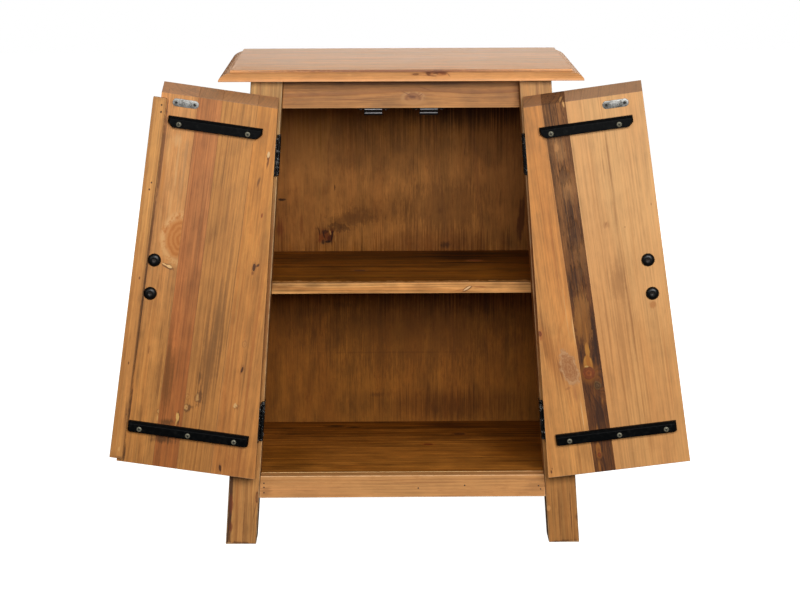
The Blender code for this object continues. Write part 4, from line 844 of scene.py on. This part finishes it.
def cross(width, reach, depth, turn):
    """Cross recess with sloping walls."""
    ct, st = math.cos(turn), math.sin(turn)

    def fall(x_, y_):
        x_, y_ = x_ * ct + y_ * st, y_ * ct - x_ * st
        best = 0.0
        for p_, q_ in ((abs(x_), abs(y_)), (abs(y_), abs(x_))):
            side = min(1.0, max(0.0, (width - p_) / (width * 0.45)))
            tip = min(1.0, max(0.0, (reach - q_) / (reach * 0.55)))
            best = max(best, min(side, tip))
        return depth * best
    return fall


def screw_shape(radius, height, seat=0.0, turn=0.3, shank=0.0):
    """Low domed screw head with a cross recess, axis +z, underside at z = seat."""
    rows, nr = [(0.0, height)], 14
    for i in range(1, nr + 1):
        u = i / nr
        rows.append((radius * u * 0.97, seat + (height - seat) * (1.0 - 0.72 * u ** 2.6)))
    rows.append((radius, seat + (height - seat) * 0.16))
    rows.append((radius, seat))
    if shank:
        rows += [(radius * 0.45, seat), (radius * 0.45, seat - shank)]
    return polar_cap(rows, 40, cross(radius * 0.2, radius * 0.62, (height - seat) * 0.75, turn), nr)


def put(shape, matrix):
    return [matrix @ Vector(v) for v in shape[0]], shape[1]


def merge(*shapes):
    verts, faces = [], []
    for v, f_ in shapes:
        o_ = len(verts)
        verts += list(v)
        faces += [tuple(i + o_ for i in q) for q in f_]
    return verts, faces


def on_door(s, x, y, z):
    """Local +z points out of the door's inner face."""
    return TURN[s] @ Matrix(((1, 0, 0, x), (0, 0, 1, y), (0, -1, 0, z), (0, 0, 0, 1)))


def outline_solid(poly, z0, z1, bevel, steps=3):
    """Flat plate from a closed outline (counter-clockwise), top edge rounded by inset loops."""
    n_ = len(poly)
    cx = sum(p[0] for p in poly) / n_
    cy = sum(p[1] for p in poly) / n_

    def inset(dist):
        out = []
        for i in range(n_):
            p0, p1, p2 = (Vector(poly[(i + j) % n_]) for j in (-1, 0, 1))
            e0, e1 = (p1 - p0).normalized(), (p2 - p1).normalized()
            n0, n1 = Vector((-e0.y, e0.x)), Vector((-e1.y, e1.x))
            b_ = (n0 + n1)
            b_ = b_ / max(1e-6, b_.length_squared) * 2.0
            out.append(p1 + b_ * dist * (1.0 if b_.length < 4 else 4 / b_.length))
        return out

    loops = [(0.0, z0)]
    for i in range(steps + 1):
        t_ = 0.5 * math.pi * i / steps
        loops.append((bevel * (1 - math.cos(t_)), z1 - bevel + bevel * math.sin(t_)))
    verts, faces = [], []
    for dist, zz in loops:
        verts += [(p.x, p.y, zz) for p in inset(dist)]
    for k_ in range(len(loops) - 1):
        for i in range(n_):
            j = (i + 1) % n_
            faces.append((k_ * n_ + i, k_ * n_ + j, (k_ + 1) * n_ + j, (k_ + 1) * n_ + i))
    faces.append(tuple(reversed(range(n_))))
    faces.append(tuple(range((len(loops) - 1) * n_, len(loops) * n_)))
    return verts, faces


# ------------------------------------------------------------------ top board with its moulded edge
def build_top():
    w2, yf, yb, t = 250.0, -20.0, 300.0, 14.5
    prof = [(0.35, 0.0), (0.0, 0.35), (0.0, 2.2)]
    # hollow that sweeps up from the lip, then a small round and a step to the flat
    pts = [(0.0, 2.2), (1.2, 4.2), (4.5, 7.0), (9.5, 9.6), (14.6, 11.4)]
    for i in range(1, 19):
        u = i / 18 * (len(pts) - 1)
        j = min(int(u), len(pts) - 2)
        f_ = u - j
        p0, p1, p2, p3 = (pts[max(0, min(len(pts) - 1, j + q))] for q in (-1, 0, 1, 2))
        prof.append(tuple(0.5 * (2 * p1[c_] + (p2[c_] - p0[c_]) * f_ + (2 * p0[c_] - 5 * p1[c_] + 4 * p2[c_] - p3[c_]) * f_ ** 2
                                 + (3 * p1[c_] - p0[c_] - 3 * p2[c_] + p3[c_]) * f_ ** 3) for c_ in (0, 1)))
    prof += [(15.2, 11.5), (15.4, 11.8), (15.5, 13.2), (15.75, 13.95), (16.2, 14.35), (16.9, 14.5)]
    verts, faces = [], []
    for dd, hh in prof:
        x_, y_, z_ = w2 - dd, yf + dd, LEG_H + hh
        back = yb - (0.4 if hh < 0.1 or hh > 14.4 else 0.0)
        verts += [(-x_, y_ + YF, z_), (x_, y_ + YF, z_), (x_, back + YF, z_), (-x_, back + YF, z_)]
    for i in range(len(prof) - 1):
        for k_ in range(4):
            j = (k_ + 1) % 4
            faces.append((4 * i + k_, 4 * i + j, 4 * i + 4 + j, 4 * i + 4 + k_))
    faces.append((3, 2, 1, 0))
    b_ = 4 * (len(prof) - 1)
    faces.append((b_, b_ + 1, b_ + 2, b_ + 3))
    ax = board_axes((0, YF, LEG_H), (0, 1, 0), (0, 0, 1), (1, 0, 0))
    mat = wood("pine_top", ax, 71, (216, 156, 98), (182, 114, 62), ring=4.8, pith=(40.0, -60.0), tilt=(0.02, 0.04), contrast=0.48, streak=0.3,
               tint=(196, 136, 86), tint_amt=0.5, planks=(84.0, 0.29), wander=10.0,
               knots=[(-12.0, 20.0, 2.4, 4.2, "brown"), (150.0, 120.0, 5.0, 9.0, "ghost")],
               marks=[(-11.0, 49.0, 9.0, 27.0, (170, 102, 56), 0.7, 0, 0.8, 0.8), (-6.2, 49.0, 2.8, 18.0, (108, 58, 32), 0.85, 0, 0.5, 1.0), (-10.6, 37.0, 4.6, 5.0, (104, 54, 28), 0.85, 0, 0.5, 1.0), (-10.0, 58.0, 4.2, 7.5, (128, 70, 38), 0.8, 20, 0.5, 1.0),
                      (-11.4, 47.0, 4.2, 5.0, (92, 48, 26), 0.7, 0, 0.5, 1.0), (-13.0, 46.4, 2.0, 4.4, (214, 160, 106), 0.8, 0, 0.5, 0.8), (-15.4, 41.0, 1.4, 8.0, (112, 62, 34), 0.6, 10, 0.5, 0.8), (62.0, -190.0, 2.0, 30.0, (150, 98, 66), 0.5), (76.0, -160.0, 1.6, 44.0, (160, 108, 74), 0.45),
                      (230.0, 150.0, 6.0, 70.0, (172, 118, 80), 0.4), (190.0, -40.0, 4.0, 120.0, (180, 124, 84), 0.35), (120.0, 60.0, 3.0, 90.0, (178, 122, 82), 0.35), (30.0, 150.0, 1.6, 70.0, (176, 120, 80), 0.4), (-12.0, 64.0, 1.4, 8.0, (140, 80, 42), 0.55, 62, 0.5), (-12.5, -71.0, 3.0, 5.0, (228, 172, 110), 0.6),
                      # the dark line at a -4.6 along the step of the moulding is painted shadow
                      (-4.6, 0.0, 1.2, 240.0, (110, 62, 30), 0.85, 0, 0.7), (-3.0, 0.0, 1.6, 250.0, (176, 106, 56), 0.5)],
               ends=[("g", -250.0, 0.0), ("g", 250.0, 0.0)], box=((-20.0, 0.0), (300.0, 0.0), 0.0, 14.5, -250.0, 250.0), wear=0.2, rough=0.46, relief=0.5, gain=gain("top"))
    ob = new_piece("top_board_look", "carcass", [mat], verts, faces, replaces=["top_board"], angle=28.0)
    return ob


build_top()

# ------------------------------------------------------------------ door hardware
SCREWS = {-1: ((32.2, 126.5), (30.1, 98.3, 163.5)), 1: ((36.0, 129.3), (26.7, 92.2, 162.5))}
for tag, s in (("left", -1), ("right", 1)):
    for node in ("%s_door_upper_strap", "%s_door_lower_strap"):
        dress(node % tag, IRON, 0.5, 3)
    dress("%s_handle" % tag, IRON, 1.0, 3)
    for row in ("upper", "lower"):
        dress("%s_%s_hinge_leg_leaf" % (tag, row), IRON_HINGE, 0.2, 2)
        dress("%s_%s_hinge_door_leaf" % (tag, row), IRON_HINGE, 0.2, 2)
        dress("%s_%s_hinge_pin" % (tag, row), IRON_EDGE)

    for row, xs, zz in (("upper", SCREWS[s][0], 592.5), ("lower", SCREWS[s][1], 158.4)):
        for i, x in enumerate(xs):
            v, f = screw_shape(3.55, 1.5, 0.0, 0.5 + 0.9 * i + s * 0.3)
            # the faces at the bottom of the recess are darker
            slots = [1 if max(v[q][0] ** 2 + v[q][1] ** 2 for q in face) < 1.9 ** 2 and min(v[q][2] for q in face) < 1.0 else 0 for face in f]
            v, f = put((v, f), on_door(s, s * x, DOOR_T + 9.6, zz))
            new_piece("%s_%s_strap_screw_%d_look" % (tag, row, i + 1), "%s_door" % tag, [SCREW, HOLE], v, f, slots=slots,
                      replaces=["%s_%s_strap_screw_%d" % (tag, row, i + 1)])
    # bolts: wide low dome, rim, socket with a cross in the middle, shank through the door
    for i, zz in enumerate((399.6, 352.0)):
        rows, nr = [(0.0, 3.9), (1.2, 3.9), (2.6, 3.95), (3.0, 4.2), (3.3, 4.6)], 4
        for j in range(1, 15):
            u = j / 14
            rows.append((3.3 + 5.6 * u, 1.0 + 3.65 * math.sqrt(max(0.0, 1.0 - (u * 0.985) ** 2))))
        rows += [(9.2, 1.0), (9.25, 0.6), (9.25, 0.3), (2.9, 0.3), (2.9, -21.7)]
        v, f = polar_cap(rows, 48, cross(0.7, 2.4, 1.0, 0.4 + i), 3)
        slots = [1 if max(v[q][0] ** 2 + v[q][1] ** 2 for q in face) < 3.05 ** 2 and min(v[q][2] for q in face) > 1.0 else 0 for face in f]
        v, f = put((v, f), on_door(s, s * 21.4, DOOR_T, zz))
        new_piece("%s_handle_bolt_%d_look" % (tag, i + 1), "%s_door" % tag, [BOLT, SOCKET], v, f, slots=slots,
                  replaces=["%s_handle_bolt_%d" % (tag, i + 1)])
    # strike plate with a raised middle and two small screws
    pz = 621.0 if s < 0 else 620.0
    hw, hh = 18.0, 5.4
    poly = []
    for k_ in range(40):
        t_ = 2 * math.pi * (k_ + 0.5) / 40
        poly.append(((hw - hh) * (1 if math.cos(t_) > 0 else -1) + hh * math.cos(t_), hh * math.sin(t_)))
    plate = outline_solid(poly, 0.3, 1.35, 0.35)
    mid = outline_solid([(-8.0, -3.6), (8.0, -3.6), (8.6, -3.0), (8.6, 3.0), (8.0, 3.6), (-8.0, 3.6), (-8.6, 3.0), (-8.6, -3.0)], 1.3, 1.75, 0.3)
    heads = [put(screw_shape(2.7, 1.1, 0.0, t_), Matrix.Translation((x_, 0, 1.35))) for x_, t_ in ((-12.6, 0.7), (12.6, 0.2))]
    flat = merge(plate, mid)
    allv, allf = merge(flat, *heads)
    slots = []
    for face in allf:
        near = [((allv[q][0] - x_) ** 2 + allv[q][1] ** 2) ** 0.5 for q in face for x_ in (-12.6, 12.6)]
        low = max(min(near[2 * k_], near[2 * k_ + 1]) for k_ in range(len(face))) < 1.7 and max(allv[q][2] for q in face) > 1.4
        slots.append(1 if low else 0)
    v, f = put((allv, allf), on_door(s, s * 37.5, DOOR_T, pz))
    new_piece("%s_strike_plate_look" % tag, "%s_door" % tag, [PLATE, HOLE], v, f, slots=slots, replaces=["%s_strike_plate" % tag], angle=30.0)

# glue lines between the door boards
for tag, s, joints in (("left", -1, ((-53.7, -53.7), (-88.0, -86.6), (-136.0, -134.4))), ("right", 1, ((104.2, 104.6), (133.4, 136.8)))):
    for i, (x0, x1) in enumerate(joints):
        def at(z_, side):
            return x0 + (x1 - x0) * (z_ - DOOR_Z0) / (DOOR_ZO - DOOR_Z0) + s * 0.15 + side * 0.13
        zt0, zt1 = DOOR_ZO + SLOPE * 0.6 - 0.5, DOOR_ZO + SLOPE * 21.6 - 0.5
        verts, faces = [], []
        zl = [DOOR_Z0 + 0.5 + (zt1 - DOOR_Z0 - 0.5) * k_ / 24 for k_ in range(25)]
        for k_, z_ in enumerate(zl):
            zb = z_ if k_ < 24 else zt0
            verts += [(at(zb, -1), 0.6, zb), (at(zb, 1), 0.6, zb), (at(z_, 1), 21.92, z_), (at(z_, -1), 21.92, z_)]
        for k_ in range(24):
            for q in range(4):
                r_ = (q + 1) % 4
                faces.append((4 * k_ + q, 4 * k_ + r_, 4 * k_ + 4 + r_, 4 * k_ + 4 + q))
        faces += [(3, 2, 1, 0), (96, 97, 98, 99)]
        new_piece("%s_door_glue_%d" % (tag, i + 1), "%s_door" % tag, [GLUE], [TURN[s] @ Vector(v_) for v_ in verts], faces, smooth=False)


# ------------------------------------------------------------------ magnetic catches
def slab(x0, x1, y0, y1, z0, z1, r, seg=3):
    """Box with rounded upright edges and a softened rim."""
    poly = []
    for cx, cy, t0 in ((x1 - r, y1 - r, 0), (x0 + r, y1 - r, 90), (x0 + r, y0 + r, 180), (x1 - r, y0 + r, 270)):
        for i in range(seg + 1):
            t_ = math.radians(t0 + 90.0 * i / seg)
            poly.append((cx + r * math.cos(t_), cy + r * math.sin(t_)))
    return outline_solid(poly, z0, z1, min(r, (z1 - z0) * 0.4) * 0.6, 2)


for tag, s in (("left", -1), ("right", 1)):
    cx, zt = s * 38.6, 625.4
    body = merge(put(slab(-13, 13, -7.0, 7.2, 0.0, 10.0, 1.2), Matrix.Identity(4)),
                 put(slab(-23, 23, -4.6, 7.2, 0.0, 2.4, 3.6), Matrix.Identity(4)))
    turn = Matrix.Translation((cx, YF + 32.8, zt)) @ Matrix(((1, 0, 0, 0), (0, 1, 0, 0), (0, 0, -1, 0), (0, 0, 0, 1)))
    bv, bf = put(body, turn)
    poles = []
    for z0 in (1.3, 6.4):
        poles.append(put(slab(-12.2, 12.2, -7.2, 4.0, z0, z0 + 0.65, 0.3), turn))
    ear = [put(screw_shape(2.2, 1.0, 0.0, 0.5), turn @ Matrix.Translation((x_, 0.0, 2.4))) for x_ in (-17.6, 17.6)]
    pv, pf = merge(*(poles + ear))
    v, f = merge((bv, bf), (pv, pf))
    new_piece("magnet_catch_%s_look" % tag, "carcass", [CATCH, POLE], v, f, slots=[0] * len(bf) + [1] * len(pf),
              replaces=["magnet_catch_%s" % tag], angle=30.0)

# ------------------------------------------------------------------ nails
for x, z in ((-198.2, 90.2), (-198.3, 84.1), (-198.4, 76.1), (22.6, 81.6), (89.1, 85.4), (194.9, 84.2), (198.0, 79.3)):
    sh = polar_cap([(0.0, 0.18), (0.5, 0.17), (0.9, 0.12), (1.1, 0.0), (1.1, -1.0)], 18)
    v, f = put(sh, Matrix.Translation((x, YF + 3.0, z)) @ Matrix(((1, 0, 0, 0), (0, 0, -1, 0), (0, 1, 0, 0), (0, 0, 0, 1))))
    new_piece("rail_nail_%d_%d" % (int(round(x)) + 300, int(round(z))), "carcass", [NAIL], v, f)


# ------------------------------------------------------------------ studio
def floor():
    me = bpy.data.meshes.new("floor")
    r = 7.0
    me.from_pydata([(-r, -r, -0.0005), (r, -r, -0.0005), (r, r, -0.0005), (-r, r, -0.0005)], [], [(0, 1, 2, 3)])
    ob = bpy.data.objects.new("floor", me)
    bpy.context.scene.collection.objects.link(ob)
    n = Mat("studio_floor")
    spot = n.noise(n.vec(n.along((1, 0, 0), 0.0) * 0.004, n.along((0, 1, 0), 0.0) * 0.004, 0.0), 2.0)
    n.feed(n.bsdf.inputs["Base Color"], n.scale((0.94, 0.94, 0.94, 1.0), n.m("MULTIPLY_ADD", spot, 0.02, 0.98)))
    n.bsdf.inputs["Roughness"].default_value = 0.9
    n.bsdf.inputs["Specular IOR Level"].default_value = 0.1
    n.bsdf.inputs["Emission Color"].default_value = (1.0, 1.0, 1.0, 1.0)
    n.bsdf.inputs["Emission Strength"].default_value = 0.97
    me.materials.append(n.mat)
    ob.visible_diffuse = False
    ob.visible_glossy = False


floor()


def area(name, at, look, size, power, colour=(1, 1, 1)):
    d = bpy.data.lights.new(name, "AREA")
    d.shape = "RECTANGLE"
    d.size, d.size_y = size
    d.energy = power
    d.color = colour
    ob = bpy.data.objects.new(name, d)
    at, look = Vector(at), Vector(look)
    ob.rotation_euler = (look - at).to_track_quat("-Z", "Y").to_euler()
    ob.location = at
    bpy.context.scene.collection.objects.link(ob)
    return ob


area("key", (0.40, -2.75, 1.42), (0.0, -0.1, 0.40), (1.6, 1.0), 77.0)
area("fill", (-1.7, -2.8, 1.2), (0.0, -0.1, 0.35), (1.4, 1.2), 8.0)
area("overhead", (0.0, 0.1, 2.6), (0.0, 0.0, 0.5), (2.4, 1.8), 8.0)
area("rear", (0.3, 2.8, 1.6), (0.0, 0.1, 0.35), (2.2, 1.4), 30.0, (1.0, 0.89, 0.77))

world = bpy.data.worlds.new("studio")
world.use_nodes = True
bpy.context.scene.world = world
wt = world.node_tree
wt.nodes.clear()
wo = wt.nodes.new("ShaderNodeOutputWorld")
mixer = wt.nodes.new("ShaderNodeMixShader")
lit, seen = wt.nodes.new("ShaderNodeBackground"), wt.nodes.new("ShaderNodeBackground")
lit.inputs["Color"].default_value = (1.0, 1.0, 1.0, 1.0)
lit.inputs["Strength"].default_value = 0.06
seen.inputs["Color"].default_value = (1.0, 1.0, 1.0, 1.0)
seen.inputs["Strength"].default_value = 1.0
path = wt.nodes.new("ShaderNodeLightPath")
wt.links.new(path.outputs["Is Camera Ray"], mixer.inputs[0])
wt.links.new(lit.outputs[0], mixer.inputs[1])
wt.links.new(seen.outputs[0], mixer.inputs[2])
wt.links.new(mixer.outputs[0], wo.inputs[0])

scene = bpy.context.scene
scene.view_settings.view_transform = "Standard"
scene.view_settings.look = "None"
scene.view_settings.exposure = 0.0
scene.view_settings.gamma = 1.0

# ------------------------------------------------------------------ camera, as fitted to the photograph
PITCH, YAW, ROLL = 0.2138, 0.0086, -0.0034
fwd = Vector((math.sin(YAW) * math.cos(PITCH), math.cos(YAW) * math.cos(PITCH), -math.sin(PITCH)))
r0 = Vector((math.cos(YAW), -math.sin(YAW), 0.0))
u0 = Vector((math.sin(YAW) * math.sin(PITCH), math.cos(YAW) * math.sin(PITCH), math.cos(PITCH)))
right = r0 * math.cos(ROLL) + u0 * math.sin(ROLL)
up = u0 * math.cos(ROLL) - r0 * math.sin(ROLL)
cam = bpy.data.cameras.new("camera")
cam.sensor_fit = "HORIZONTAL"
cam.sensor_width = 36.0
cam.lens = 2142.94 / 800.0 * 36.0
cam.clip_end = 60.0
co = bpy.data.objects.new("camera", cam)
co.matrix_world = Matrix(((right.x, up.x, -fwd.x, -0.0279), (right.y, up.y, -fwd.y, -2.9395 + YF * 0.001),
                          (right.z, up.z, -fwd.z, 0.9964), (0, 0, 0, 1)))
scene.collection.objects.link(co)
scene.camera = co
